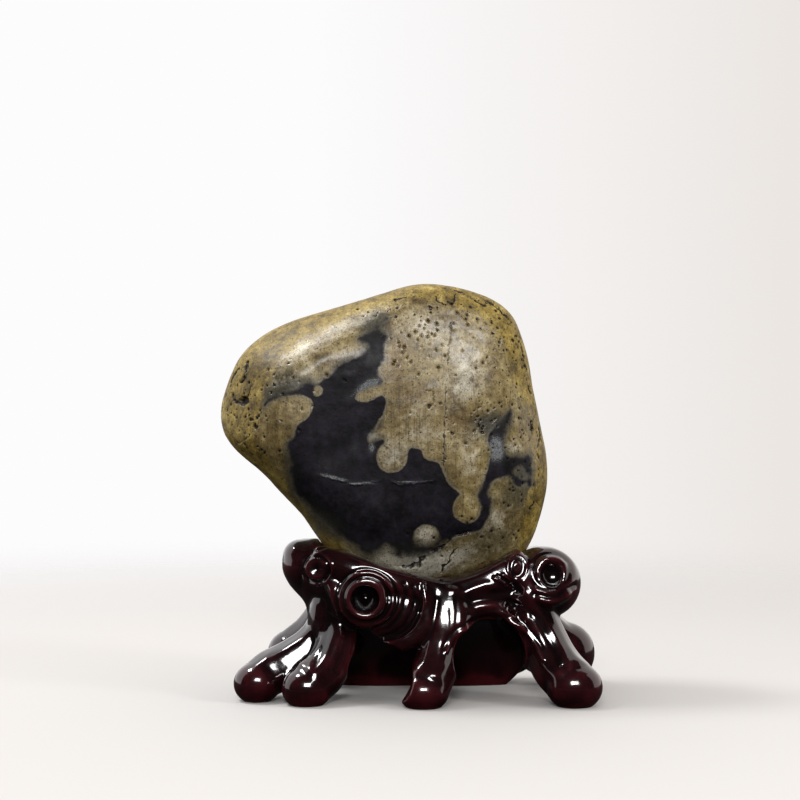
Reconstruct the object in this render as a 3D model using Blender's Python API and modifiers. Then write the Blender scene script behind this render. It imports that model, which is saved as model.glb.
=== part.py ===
"""A yellow river stone standing in its carved, lacquered root stand.

The stone is one worn pebble whose broad patterned face looks along -Y. The stand is one block of
wood carved as burls and roots, with a seat cut to the stone. Metres, +Z up, floor at z = 0.
"""

import math

import bmesh
import bpy
from mathutils import Matrix, Vector

MM = 0.001

# Stone: its front outline, as control radii about its middle every 15 degrees, in millimetres,
# anticlockwise from the right-hand side.
STONE_MIDDLE = Vector((-0.021, 0.0, 0.201))
OUTLINE_RADII_MM = (
    119.3, 117.1, 124.4, 136.1, 124.2, 118.4,
    104.4, 100.9, 103.0, 114.6, 125.2, 126.7,
    130.1, 99.5, 91.8, 88.0, 97.6, 110.5,
    118.2, 123.5, 130.4, 146.3, 135.9, 131.1,
)  # fmt: skip
OUTLINE_STEP = 2 * math.pi / len(OUTLINE_RADII_MM)
FRONT_DEPTH = 0.064
BACK_DEPTH = 0.070
RIM_SQUARENESS = 2.5
STONE_CUTS = 17

# Faces that the river ground flat: outward direction, distance from the stone's middle and
# softness of the edge, in millimetres.
WORN_FACES = {
    "patterned face": ((0.02, -1.0, 0.03), 55, 3),
    "upper left shoulder": ((-0.33, -0.67, 0.66), 90, 4),
    "crown": ((0.16, -0.93, 0.32), 69, 5),
    "right cheek": ((0.82, -0.57, 0.10), 112, 5),
    "left cheek": ((-0.74, -0.66, 0.10), 103, 4),
    "lower left bevel": ((-0.55, -0.64, -0.53), 92, 4),
    "foot": ((0.05, -0.87, -0.49), 87, 5),
    "back": ((-0.06, 0.99, 0.10), 62, 6),
    "back shoulder": ((0.30, 0.72, 0.62), 97, 6),
    "back left": ((-0.66, 0.72, -0.20), 97, 6),
    "back foot": ((0.15, 0.80, -0.58), 92, 6),
}

# Broad swells (positive) and hollows (negative) of the patterned face: place across and up from
# the stone's middle, radius and height, in millimetres.
SWELLS = {
    "right swell": ((66, 34), 26, 2.2),
    "lobe swell": ((70, -20), 20, 2.0),
    "ridge swell": ((-62, 52), 24, 1.6),
    "hollow under the ridge": ((-38, 34), 26, -2.0),
    "hollow between the swells": ((74, 8), 16, -1.4),
    "hollow of the dark field": ((-22, -30), 42, -1.6),
}

# Stand: its body and roots, each a run of (x, y, z, radius) in millimetres.
ROOTS = {
    "front wall": (
        (-74, -14, 90, 17), (-46, -30, 82, 17), (-10, -33, 75, 16),
        (22, -32, 72, 16), (58, -30, 77, 16), (90, -14, 88, 18),
    ),
    "back wall": (
        (-74, 14, 90, 17), (-44, 28, 82, 17), (-10, 32, 76, 16),
        (24, 32, 74, 16), (58, 30, 80, 16), (92, 14, 88, 18),
    ),
    "left leg": (
        (-79, -8, 94, 18), (-69, -14, 74, 13), (-67, -17, 58, 12.5),
        (-72, -20, 43, 15), (-88, -24, 29, 16.5), (-106, -30, 20, 17), (-116, -36, 15, 15),
    ),
    "left inner root": (
        (-56, -30, 78, 12), (-54, -30, 58, 12.5), (-57, -38, 38, 15),
        (-66, -46, 22, 17), (-76, -53, 15, 17),
    ),
    "middle column": (
        (27, -36, 80, 17), (25, -44, 62, 16), (20, -48, 43, 14.5),
        (16, -54, 26, 17), (11, -62, 15, 17),
    ),
    "right leg": (
        (88, -32, 82, 18), (93, -38, 62, 16), (99, -43, 42, 17.5),
        (108, -50, 26, 19), (117, -57, 17, 19),
    ),
    "back right leg": (
        (88, 20, 86, 19), (92, 28, 60, 16), (108, 34, 38, 19), (122, 37, 25, 22),
    ),
    "back right root": (
        (80, 34, 78, 15), (78, 40, 54, 15), (80, 46, 32, 15), (86, 58, 14, 14),
    ),
    "back middle root": (
        (50, 36, 78, 16), (50, 42, 54, 15), (48, 48, 30, 16), (46, 60, 14, 14),
    ),
    "back column": (
        (-8, 36, 78, 16), (-8, 42, 54, 15), (-4, 50, 30, 15), (2, 62, 14, 14),
    ),
    "back left root": (
        (-44, 34, 80, 17), (-42, 38, 54, 15), (-44, 46, 30, 16), (-50, 60, 14, 14),
    ),
    "back left leg": (
        (-68, 20, 90, 19), (-66, 28, 64, 15), (-76, 34, 44, 15.5), (-94, 38, 26, 17),
    ),
}  # fmt: skip

# Folds of wood that wrap round the big burl, the right burl and the right arch.
FOLDS = {
    "outer fold": (
        (-16, -40, 88, 6.5), (0, -45, 83, 8.5), (4, -49, 69, 9),
        (-3, -50, 56, 8.5), (-18, -50, 50, 8), (-31, -46, 55, 6),
    ),
    "inner fold": (
        (-18, -48, 87, 6), (-9, -53, 79, 7), (-7, -55, 67, 7),
        (-13, -55, 58, 7), (-25, -53, 57, 6),
    ),
    "drop ridge": ((-62, -40, 93, 6), (-56, -46, 81, 6.5), (-53, -47, 67, 4.5)),
    "fold under the right burl": (
        (82, -42, 90, 5.5), (90, -47, 82, 6), (102, -48, 78, 6.5), (116, -42, 83, 5.5),
    ),
    "arch rim": (
        (29, -50, 40, 5), (33, -49, 54, 5), (43, -47, 64, 5), (57, -46, 68, 5),
        (71, -47, 64, 5), (82, -49, 54, 5),
    ),
}  # fmt: skip

# The lip that grips the stone, as a closed run.
LIP = (
    (-82, 0, 104, 13), (-66, -22, 99, 13), (-46, -33, 92, 12), (-10, -37, 82, 11),
    (14, -36, 79, 11), (40, -35, 84, 11), (68, -32, 92, 12), (88, -20, 97, 13),
    (98, 0, 99, 14), (88, 20, 97, 13), (66, 32, 94, 12), (40, 37, 86, 11),
    (12, 38, 82, 11), (-18, 37, 86, 11), (-48, 33, 94, 12), (-66, 22, 99, 13),
)  # fmt: skip

# Balls of wood: the seat, the panel between the back roots, lobes, burls and toes, as middle
# and radii.
BALLS = {
    "seat block": ((8, 0, 82), (84, 36, 20)),
    "back panel": ((6, 36, 40), (92, 13, 62)),
    "left lobe": ((-79, -10, 99), (18, 21, 19)),
    "left back lobe": ((-82, 14, 100), (19, 22, 17.5)),
    "right lobe": ((100, 14, 91), (20, 26, 20)),
    "big burl": ((-35, -42, 78), (21, 18, 21)),
    "small burl": ((-70, -34, 99), (11, 12, 11)),
    "right burl": ((99, -24, 87), (28, 25, 27)),
    "slim burl": ((77, -40, 98), (7.5, 7, 11)),
    "back burl": ((64, 42, 84), (19, 16, 19)),
    "back left burl": ((-34, 40, 90), (17, 14, 16)),
    "right toe": ((119, -59, 14), (21, 19, 18)),
    "middle toe": ((8, -64, 11), (19, 17, 15)),
    "left inner toe": ((-78, -54, 12), (19, 17, 16)),
    "left toe": ((-116, -37, 13), (18, 17, 16)),
    "right back toe": ((122, 37, 25), (23, 22, 24)),
    "left back toe": ((-96, 37, 25), (18, 18, 18)),
}

# Rings carved round the burls: middle, the way the ring faces, its radius and the wood's
# thickness.
RINGS = {
    "big burl lip": ((-35, -58, 78), (0.0, -1.0, 0.0), 14, 5),
    "small burl lip": ((-71, -43, 100), (-0.2, -1.0, 0.1), 7, 3),
    "right burl lip": ((103, -44, 95), (0.2, -1.0, 0.1), 14, 4.5),
    "back burl lip": ((64, 56, 84), (0.1, 1.0, 0.0), 13, 4.5),
}

# Hollows cut into the wood: middle and radii.
HOLLOWS = {
    "big burl hole": ((-35, -62, 78), (9.5, 18, 9.5)),
    "right burl bowl": ((103.5, -50, 95.5), (10.5, 10, 10.5)),
    "back burl bowl": ((64, 60, 84), (9, 10, 9)),
    "vault": ((6, -4, 0), (88, 33, 58)),
}

# Arched gaps between the roots: middle of the arch's circle, its radius, the way through and
# the gap's length.
ARCHES = {
    "right arch": ((57, -60, 35), 27, "Y", 120),
    "left arch": ((-24, -60, 22), 24, "Y", 120),
    "left side arch": ((-90, 8, 18), 17, "X", 100),
    "right side arch": ((100, -12, 24), 18, "X", 100),
}

CARVE_VOXEL = 0.0028
SOFTENING_PASSES = 6
SEAT_GAP = 0.0004


def outline_radius(angle):
    """Distance from the stone's middle to its front outline, on a smooth closed curve."""
    position = angle / OUTLINE_STEP
    first = math.floor(position)
    t = position - first
    weights = (
        (1 - t) ** 3 / 6,
        (3 * t**3 - 6 * t**2 + 4) / 6,
        (-3 * t**3 + 3 * t**2 + 3 * t + 1) / 6,
        t**3 / 6,
    )
    count = len(OUTLINE_RADII_MM)
    radii = (OUTLINE_RADII_MM[(first - 1 + k) % count] for k in range(4))
    return MM * sum(weight * radius for weight, radius in zip(weights, radii))


def pebble_point(direction):
    """The rounded pebble before wear: its waist is the outline, its depth differs front and back."""
    across = math.hypot(direction.x, direction.z)
    waist = outline_radius(math.atan2(direction.z, direction.x))
    depth = FRONT_DEPTH if direction.y < 0 else BACK_DEPTH
    size = (across / waist) ** RIM_SQUARENESS + (abs(direction.y) / depth) ** RIM_SQUARENESS
    return direction * size ** (-1 / RIM_SQUARENESS)


def worn(point):
    """The point after the river has ground each worn face flat."""
    for facing, distance, softness in WORN_FACES.values():
        normal = Vector(facing).normalized()
        beyond = (point.dot(normal) / MM - distance) / softness
        point = point - normal * MM * softness * math.log1p(math.exp(beyond))
    return point


def swelled(point, direction):
    """The point after the patterned face's broad swells and hollows."""
    front = max(0.0, -direction.y)
    for (x, z), radius, height in SWELLS.values():
        away = math.hypot(point.x / MM - x, point.z / MM - z) / radius
        point = point + Vector((0, -MM, 0)) * height * front * math.exp(-away * away)
    return point


def make_stone():
    """The stone, from a cube cut into a grid and pushed out along each direction."""
    mesh = bpy.data.meshes.new("river_stone")
    shape = bmesh.new()
    bmesh.ops.create_cube(shape, size=2)
    bmesh.ops.subdivide_edges(shape, edges=shape.edges[:], cuts=STONE_CUTS, use_grid_fill=True)
    for vertex in shape.verts:
        evened = Vector(math.tan(math.pi / 4 * c) for c in vertex.co)
        direction = evened.normalized()
        vertex.co = STONE_MIDDLE + swelled(worn(pebble_point(direction)), direction)
    bmesh.ops.recalc_face_normals(shape, faces=shape.faces[:])
    shape.to_mesh(mesh)
    shape.free()
    return mesh


def ball(shape, middle, radii):
    """Adds a ball of wood to the carving."""
    place = Matrix.Translation(Vector(middle) * MM) @ Matrix.Diagonal((*[r * MM for r in radii], 1))
    bmesh.ops.create_uvsphere(shape, u_segments=24, v_segments=16, radius=1, matrix=place)


def tube_mesh(name, run, closed=False):
    """A root as a mesh: a smooth tube through (x, y, z, radius) in millimetres."""
    curve = bpy.data.curves.new(name, "CURVE")
    curve.dimensions = "3D"
    curve.bevel_depth = MM
    curve.bevel_resolution = 5
    curve.use_fill_caps = not closed
    spline = curve.splines.new("BEZIER")
    spline.bezier_points.add(len(run) - 1)
    spline.resolution_u = 8
    spline.use_cyclic_u = closed
    for knot, (x, y, z, radius) in zip(spline.bezier_points, run):
        knot.co = Vector((x, y, z)) * MM
        knot.radius = radius
        knot.handle_left_type = "AUTO"
        knot.handle_right_type = "AUTO"
    holder = bpy.data.objects.new(name, curve)
    bpy.context.scene.collection.objects.link(holder)
    graph = bpy.context.evaluated_depsgraph_get()
    mesh = bpy.data.meshes.new_from_object(holder.evaluated_get(graph))
    bpy.data.objects.remove(holder)
    return mesh


def ring_mesh(middle, facing, radius, thickness):
    """A carved ring, as a torus that faces the given way."""
    bpy.ops.mesh.primitive_torus_add(
        major_segments=32,
        minor_segments=12,
        major_radius=radius * MM,
        minor_radius=thickness * MM,
    )
    torus = bpy.context.object
    turn = Vector(facing).to_track_quat("Z", "Y").to_matrix().to_4x4()
    torus.data.transform(Matrix.Translation(Vector(middle) * MM) @ turn)
    mesh = torus.data
    bpy.data.objects.remove(torus)
    return mesh


def rough_carving():
    """All of the stand's roots, balls and rings in one mesh, still passing through each other."""
    shape = bmesh.new()
    for middle, radii in BALLS.values():
        ball(shape, middle, radii)
    meshes = [tube_mesh(name, run) for name, run in (ROOTS | FOLDS).items()]
    meshes.append(tube_mesh("lip", LIP, closed=True))
    meshes.extend(ring_mesh(*ring) for ring in RINGS.values())
    for mesh in meshes:
        shape.from_mesh(mesh)
        bpy.data.meshes.remove(mesh)
    bmesh.ops.remove_doubles(shape, verts=shape.verts[:], dist=1e-6)
    carving = bpy.data.meshes.new("carved_stand")
    shape.to_mesh(carving)
    shape.free()
    return carving


def hollow_cutter():
    """The burls' hollows and the arches between the roots, as one cutter."""
    shape = bmesh.new()
    for middle, radii in HOLLOWS.values():
        ball(shape, middle, radii)
    for middle, radius, way, length in ARCHES.values():
        axis = Vector((1, 0, 0)) if way == "X" else Vector((0, 1, 0))
        turn = axis.to_track_quat("Z", "Y").to_matrix().to_4x4()
        bmesh.ops.create_cone(
            shape,
            cap_ends=True,
            segments=32,
            radius1=radius * MM,
            radius2=radius * MM,
            depth=length * MM,
            matrix=Matrix.Translation(Vector(middle) * MM) @ turn,
        )
    mesh = bpy.data.meshes.new("hollows")
    shape.to_mesh(mesh)
    shape.free()
    return mesh


def seat_cutter(stone_mesh):
    """The stone grown by the gap that it keeps to its seat."""
    mesh = stone_mesh.copy()
    normals = [vertex.normal.copy() for vertex in mesh.vertices]
    for vertex, normal in zip(mesh.vertices, normals):
        vertex.co += normal * SEAT_GAP
    return mesh


def floor_cutter():
    """A block below the floor, which cuts the roots' feet flat."""
    mesh = bpy.data.meshes.new("floor_cut")
    shape = bmesh.new()
    bmesh.ops.create_cube(shape, size=1, matrix=Matrix.Translation((0, 0, -0.5)))
    shape.to_mesh(mesh)
    shape.free()
    return mesh


def material(name, colour, roughness):
    """A plain finish for a sub-part."""
    made = bpy.data.materials.new(name)
    made.use_nodes = True
    surface = made.node_tree.nodes["Principled BSDF"]
    surface.inputs["Base Color"].default_value = (*colour, 1)
    surface.inputs["Roughness"].default_value = roughness
    surface.inputs["Metallic"].default_value = 0.0
    return made


def add_object(name, mesh, collection, finish=None):
    """Links a named object to a collection."""
    made = bpy.data.objects.new(name, mesh)
    collection.objects.link(made)
    if finish:
        mesh.materials.clear()
        mesh.materials.append(finish)
        mesh.shade_smooth()
    else:
        made.hide_render = True
        made.display_type = "WIRE"
    return made


def cut(target, cutter):
    """Adds a Boolean difference."""
    boolean = target.modifiers.new(f"cut {cutter.name}", "BOOLEAN")
    boolean.operation = "DIFFERENCE"
    boolean.solver = "EXACT"
    boolean.object = cutter


def remesh(target, voxel):
    """Adds a voxel remesh, which joins what overlaps and rounds its creases."""
    skin = target.modifiers.new("one skin", "REMESH")
    skin.mode = "VOXEL"
    skin.voxel_size = voxel


def centre_over_origin(parts, cutters):
    """Moves everything together so that the origin is the middle of the whole footprint."""
    graph = bpy.context.evaluated_depsgraph_get()
    points = [vertex.co for part in parts for vertex in part.evaluated_get(graph).data.vertices]
    middle = Vector(
        (min(p[axis] for p in points) + max(p[axis] for p in points)) / 2 for axis in range(2)
    ).to_3d()
    for made in (*parts, *cutters):
        made.location = -middle


def main():
    """Builds the stone and its stand."""
    for old in list(bpy.data.objects):
        bpy.data.objects.remove(old)
    parts = bpy.data.collections.new("river stone on carved stand")
    cutters = bpy.data.collections.new("cutters")
    bpy.context.scene.collection.children.link(parts)
    bpy.context.scene.collection.children.link(cutters)

    stone_finish = material("ochre stone", (0.25, 0.195, 0.09), 0.45)
    wood_finish = material("wine lacquer", (0.031, 0.011, 0.011), 0.12)

    stone = add_object("river_stone", make_stone(), parts, stone_finish)
    stand = add_object("carved_stand", rough_carving(), parts, wood_finish)
    hollows = add_object("hollows", hollow_cutter(), cutters)
    seat = add_object("seat", seat_cutter(stone.data), cutters)
    floor = add_object("floor_cut", floor_cutter(), cutters)

    remesh(stand, CARVE_VOXEL)
    remesh(hollows, CARVE_VOXEL)
    cut(stand, hollows)
    remesh(stand, CARVE_VOXEL)
    soften = stand.modifiers.new("soften", "SMOOTH")
    soften.iterations = SOFTENING_PASSES
    thin = stand.modifiers.new("thin out", "DECIMATE")
    thin.ratio = 0.1
    cut(stand, seat)
    cut(stand, floor)
    centre_over_origin((stone, stand), (hollows, seat, floor))


main()
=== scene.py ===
"""A yellow river stone on its carved, lacquered root stand, dressed for the camera.

The stone is one water-worn pebble: a tan and ochre body with a dark field on its broad face. The
stand is one block of wood, carved as roots, burls and folds under a wine-dark lacquer. Shapes
are worked out in millimetres and written to the meshes in metres.
"""

import logging
import math
from collections.abc import Callable, Mapping, Sequence
from dataclasses import dataclass, field
from enum import Enum
from functools import partial
from typing import TypeVar

import bmesh
import bpy
import numpy as np
from mathutils import Matrix, Vector, noise
from mathutils.bvhtree import BVHTree


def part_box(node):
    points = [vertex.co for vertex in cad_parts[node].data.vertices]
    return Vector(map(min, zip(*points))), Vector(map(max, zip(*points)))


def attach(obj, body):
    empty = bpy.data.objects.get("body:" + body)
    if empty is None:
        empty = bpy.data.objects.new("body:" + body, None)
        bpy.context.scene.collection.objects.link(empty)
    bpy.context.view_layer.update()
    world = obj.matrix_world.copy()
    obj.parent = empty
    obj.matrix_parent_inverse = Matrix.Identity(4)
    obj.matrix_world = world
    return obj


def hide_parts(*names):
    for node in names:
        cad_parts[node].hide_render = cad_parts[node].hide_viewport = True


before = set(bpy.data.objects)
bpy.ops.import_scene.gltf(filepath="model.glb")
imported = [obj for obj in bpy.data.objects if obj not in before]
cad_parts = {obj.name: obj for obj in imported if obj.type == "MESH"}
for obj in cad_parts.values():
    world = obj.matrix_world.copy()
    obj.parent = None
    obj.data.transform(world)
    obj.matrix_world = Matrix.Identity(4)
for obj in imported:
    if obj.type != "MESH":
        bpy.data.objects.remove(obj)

logging.basicConfig(level=logging.INFO, format="%(levelname)s %(message)s")
log = logging.getLogger("river_stone")

MM = 0.001
Point = tuple[float, float]
Place = tuple[float, float, float]
Knot = tuple[float, float, float, float]
Colour = tuple[float, float, float, float]
Form = TypeVar("Form")

# Where the photograph was taken from, in the stand's own millimetres.
EYE: Place = (-9.24, -1300.0, 224.84)


class Face(Enum):
    """A side of the stand, with the sign of y on it: towards the viewer or away."""

    FRONT = -1
    BACK = 1


class Way(Enum):
    """The way an arch is cut between the roots."""

    SIDEWAYS = (1, 0, 0)
    THROUGH = (0, 1, 0)


def each(kind: Callable[..., Form], *rows: Sequence) -> tuple[Form, ...]:
    """One form of a kind for each row of its values."""
    return tuple(kind(*row) for row in rows)


@dataclass(frozen=True)
class Disc:
    """A round marking: its place across and up from the stone's middle, and its two radii."""

    x: float
    z: float
    across: float
    up: float

    def depth_inside(self, at: np.ndarray) -> np.ndarray:
        """How far inside the marking each point is, negative outside."""
        away = np.hypot((at[:, 0] - self.x) / self.across, (at[:, 1] - self.z) / self.up)
        return (1 - away) * min(self.across, self.up)


@dataclass(frozen=True)
class Cloud:
    """A soft patch that fades out over its own radii, turned anticlockwise by some degrees."""

    x: float
    z: float
    across: float
    up: float
    amount: float
    turn: float = 0.0

    def strength(self, at: np.ndarray) -> np.ndarray:
        """The patch's strength at each point.

        Args:
            at: Points across and up, one a row.

        Returns:
            The amount at the middle, fading to nothing.
        """
        cos, sin = math.cos(math.radians(self.turn)), math.sin(math.radians(self.turn))
        dx, dz = at[:, 0] - self.x, at[:, 1] - self.z
        along, over = dx * cos + dz * sin, dz * cos - dx * sin
        return self.amount * np.exp(-((along / self.across) ** 2) - (over / self.up) ** 2)


@dataclass(frozen=True)
class Pit:
    """A small round hollow: its place, radius and depth."""

    x: float
    z: float
    radius: float
    depth: float


@dataclass(frozen=True)
class Crack:
    """A crack or vein along a line.

    A negative depth raises a vein. The step is how far the stone on the line's left stands
    proud, and the last value is how dark the crack is painted, from 0 to 1: dirt in it and
    painted shade.
    """

    line: tuple[Point, ...]
    width: float
    depth: float
    step: float = 0.0
    stain: float = 1.0


@dataclass(frozen=True)
class Gouge:
    """A carver's line on the stand: half its width, and its height, negative for a groove."""

    line: tuple[Point, ...]
    width: float
    height: float


@dataclass(frozen=True)
class Burl:
    """Growth rings round a burl on the stand: its middle, its shape and its rings.

    The rings are each a radius, half a width, and a height that is negative for a groove. Tall is
    how much higher than wide they are.
    """

    x: float
    z: float
    rings: tuple[tuple[float, float, float], ...]
    tall: float = 1.0


# The stone's markings, in millimetres from its middle, as seen from the front.

DARK_FIELD: tuple[Point, ...] = (
    (2.7, 88.3), (-1.5, 83.2), (-3.3, 78), (0.2, 75.1), (3.3, 73.4), (-0.3, 67.7), (-1.4, 60.8),
    (0.2, 55.7), (-3.3, 51.4), (-5.8, 47.1), (-5, 41.9), (-1, 39), (-2.4, 36.2), (-8.4, 34.2),
    (-14.4, 32.5), (-20.5, 29.9), (-23, 26.4), (-21.3, 23), (-14.4, 22), (-7.6, 24.7), (-1.5, 28),
    (1, 23.5), (0.2, 18.4), (-1.5, 13.2), (-4.1, 9.3), (-6.7, 4.6), (-8.4, 0.8), (-12.4, -2.3),
    (-13.6, -6.2), (-12.4, -9.1), (-8.4, -7.4), (-4.1, -5.9), (0.7, -7.1), (-1.5, -10.2), (-5, -13.1),
    (-6.7, -17.4), (-6.7, -21.7), (-5.5, -26), (-2.4, -29.9), (1.9, -32), (6.2, -32.2), (11, -31.1),
    (15.1, -28), (17.2, -23.9), (17.7, -18.2), (18.6, -14.3), (21.3, -12.9), (26.5, -13.3), (28.5, -16),
    (29.7, -20), (33.3, -22.5), (37.6, -23.4), (41.9, -25.5), (44.3, -29.8), (46.1, -34.9), (48.5, -39.7),
    (52.1, -43.7), (56.4, -46.6), (58.1, -48.7), (54.3, -52.6), (52.2, -57.8), (52.6, -62.9),
    (54.8, -67.6), (59, -70.7), (63.8, -71.5), (68.9, -70.3), (72.7, -66.4), (74.6, -61.2), (74.6, -56.9),
    (72.9, -52.6), (71, -49.2), (74.1, -44.9), (77, -38.9), (78.9, -31.1), (80.8, -24.3), (83.2, -16.5),
    (81.1, -11.4), (78.9, -5), (80.8, -2.2), (83, 1), (87, 5), (91.8, 10.5), (94.8, 14.8), (97.4, 17.6),
    (98.2, 13.4), (97, 8), (94.8, 2.6), (91.8, -3.4), (91, -9), (91.4, -14.6), (93.4, -18.2), (97, -20.5),
    (102, -18.6), (107, -19.8), (111, -17.8), (113.6, -21), (112, -26), (114, -31), (112.4, -36),
    (113.6, -41), (111.2, -43.4), (109.6, -39.4), (106.5, -41), (103.5, -43.2), (99.8, -41.5),
    (98.6, -37), (96, -34.4), (93, -34.9), (88, -35.9), (83.2, -38.3), (80.1, -42.8), (79.4, -49.2),
    (82.2, -53.5), (81.1, -59.5), (81.1, -64.6), (77.7, -70.3), (74.2, -75.8), (69.8, -77.5),
    (65.5, -77.9), (59.5, -79.3), (54.3, -82), (47.8, -84.8), (43.1, -87), (39.2, -90.9), (36, -93.6),
    (29.4, -94.7), (19.9, -95.8), (14.4, -94.7), (11, -97.5), (7.6, -92.7), (4.1, -88.5), (1.4, -86.5),
    (-2.4, -90.6), (-7.2, -93), (-9.6, -95.8), (-13.9, -95.8), (-17.9, -92.3), (-22.2, -88.5),
    (-28.2, -84.4), (-35.1, -80.3), (-41.9, -75.8), (-47.4, -71.3), (-52.3, -66.4), (-57.8, -59),
    (-62.6, -53.8), (-67.7, -49.3), (-70.8, -44.9), (-71.5, -38), (-72.9, -31.1), (-73.2, -24.3),
    (-74.8, -17.4), (-75.5, -11.9), (-74.3, -8.1), (-70.3, -4.7), (-68.6, -0.2), (-66.9, 4.8),
    (-60.8, 8.4), (-56.5, 13.6), (-54.7, 18.7), (-55.7, 23.9), (-59.1, 26.4), (-66, 28), (-71.2, 28),
    (-78, 27.1), (-84.6, 25.6), (-88.7, 23.2), (-92.5, 18.4), (-93.5, 19.1), (-90.8, 23.5), (-85.9, 26.4),
    (-79.7, 29.5), (-72.9, 30.7), (-66.3, 33.3), (-62.9, 36.6), (-58.3, 38.1), (-54, 36.2), (-48.8, 37.6),
    (-45.4, 40.2), (-41.1, 42.8), (-38.5, 46.2), (-35.1, 50.5), (-29.9, 53.6), (-23, 56.4), (-17.9, 58.9),
    (-14.4, 62.5), (-14.4, 66.5), (-17.5, 68.9), (-22.2, 71.3), (-16.2, 74.7), (-11.3, 78.9),
    (-5.8, 81.6), (-1.5, 85.4),
)

# The inner edge of the ochre rind on the front; it runs off the stone at the foot.
RIND_EDGE: tuple[Point, ...] = (
    (-93.5, 18.7), (-91.8, 32.5), (-84.9, 45.4), (-77.2, 54.8), (-66, 64.8), (-52.3, 73.4), (-38.5, 80.9),
    (-24.8, 87.1), (-11, 92.6), (2.7, 96.1), (16.5, 100.2), (30.2, 101.2), (44, 97.8), (54.3, 92.6),
    (68.1, 89.2), (81.8, 82), (90.4, 68.6), (95.6, 51.4), (99.3, 34.2), (104.2, 23.9), (112.1, 13.6),
    (114.5, -0.2), (116.2, -13.9), (115.5, -26), (114.5, -39.7), (109.3, -53.5), (104.2, -68.9),
    (101.1, -79.3), (105.9, -120.5), (-14.4, -120.5), (-24.8, -87.8), (-38.5, -81.3), (-48.8, -72.7),
    (-57.4, -60.7), (-66, -52.1), (-74.6, -40.1), (-83.2, -28), (-91.8, -17.7), (-96.9, -7.4),
    (-96.1, 6.3),
)

BACK_FIELD: tuple[Point, ...] = (
    (-72, -8), (-54, 6), (-32, 8), (-10, 24), (12, 28), (26, 46), (50, 54), (64, 42), (52, 24), (34, 14),
    (24, -4), (2, -12), (-12, -30), (-34, -38), (-60, -32), (-78, -22),
)

CRACKS: tuple[Crack, ...] = each(
    Crack,
    (((54.3, 108.4), (61.2, 105.5), (67.2, 102.1), (71.5, 98.6), (77.5, 96.1)), 0.6, 0.9, 0.4),
    (((77.5, 100.4), (83.5, 96.9), (88.7, 92.6), (93, 88.3), (96.4, 84.9)), 0.6, 0.8, 0.3),
    (((39.2, 103.8), (40.6, 100.4), (44.9, 97.8), (47.4, 97.3)), 0.7, 0.8),
    (((54, 105.5), (53.8, 100.4), (51.7, 97.4), (49.2, 99.5)), 0.8, 1.0),
    (((-105.5, 53.1), (-107.2, 47.9), (-107.6, 42.8), (-109, 39.3), (-110.7, 37.6)), 0.8, 1.4),
    (((-112.4, 47.9), (-115.8, 44.5), (-117.6, 40.2), (-119.3, 34.2)), 0.7, 1.2),
    (((-103.5, -3.5), (-107.5, -6.4), (-112, -10)), 0.7, 0.7, 0.3, 0.5),
    (((-116, 13), (-112.5, 7), (-110.5, 1), (-107, -3)), 0.5, 0.5, 0.2, 0.6),
    (((32, 31), (34.6, 31), (37, 29.4), (38, 26.4), (37.4, 23), (35.2, 20.6)), 1.1, 0.8, 0.0, 0.3),
    (((-101.2, 41.1), (-103, 35.9), (-103.8, 30.7), (-104.2, 27.3)), 0.6, 0.5, 0.2, 0.6),
    (((-117.6, 27.3), (-115, 22.5), (-110.7, 20.1)), 0.7, 1.2),
    (((105, 66.8), (105.9, 61.7), (107.2, 55.7)), 0.7, 0.9), (((107.9, 51.4), (109.3, 46.2)), 0.7, 0.8),
    (((111, 34.2), (112.7, 28.2)), 0.7, 0.8), (((113.6, 8.4), (114.1, -2.8)), 0.7, 1.0),
    (((118.8, 2.4), (119.6, -3.6), (117.9, -12.2)), 0.6, 0.8),
    (((115.3, -54.3), (112.7, -58.6), (112.2, -62.1)), 0.8, 0.9),
    (((51.7, 84), (50, 68.6), (48.3, 51.4), (47.4, 34.2), (46.6, 17), (46.1, -0.2), (45.4, -26)), 0.5,
        0.2, 0.0, 0.8),
    (((13.9, -105.4), (19.1, -105.4), (22.5, -103), (26.8, -103.3), (27.7, -99.5), (31.1, -98.2)), 1.1,
        1.5, -1.3),
    (((37.1, -93.3), (42.3, -90.9), (48.3, -87), (50, -84.1), (56, -81), (61.2, -79.3), (65.5, -78.1)),
        1.0, 1.4, -1.4),
    (((44, -108.5), (44.9, -104.2), (49.2, -101.6), (50, -97.3), (53.5, -92.1), (55.2, -89.9)), 1.0, 1.4,
        1.0),
    (((-48.5, -35.4), (-44, -35.6), (-39, -37)), 0.5, -0.5, 0.3, 0.0),
    (((-33, -39), (-24.8, -41.6), (-19.6, -41.8), (-14.4, -40.4), (-4, -39.6)), 0.5, -0.6, 0.5, 0.0),
    (((7, -40.2), (11, -41.6), (17.7, -41.2)), 0.5, -0.5, 0.4, 0.0),
    (((22, -41.6), (26.8, -40.2), (37.1, -38.9)), 0.5, -0.5, 0.4, 0.0),
    (((7, 101.2), (11.3, 101.9), (17.4, 102.6)), 0.5, 0.6),
)

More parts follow.
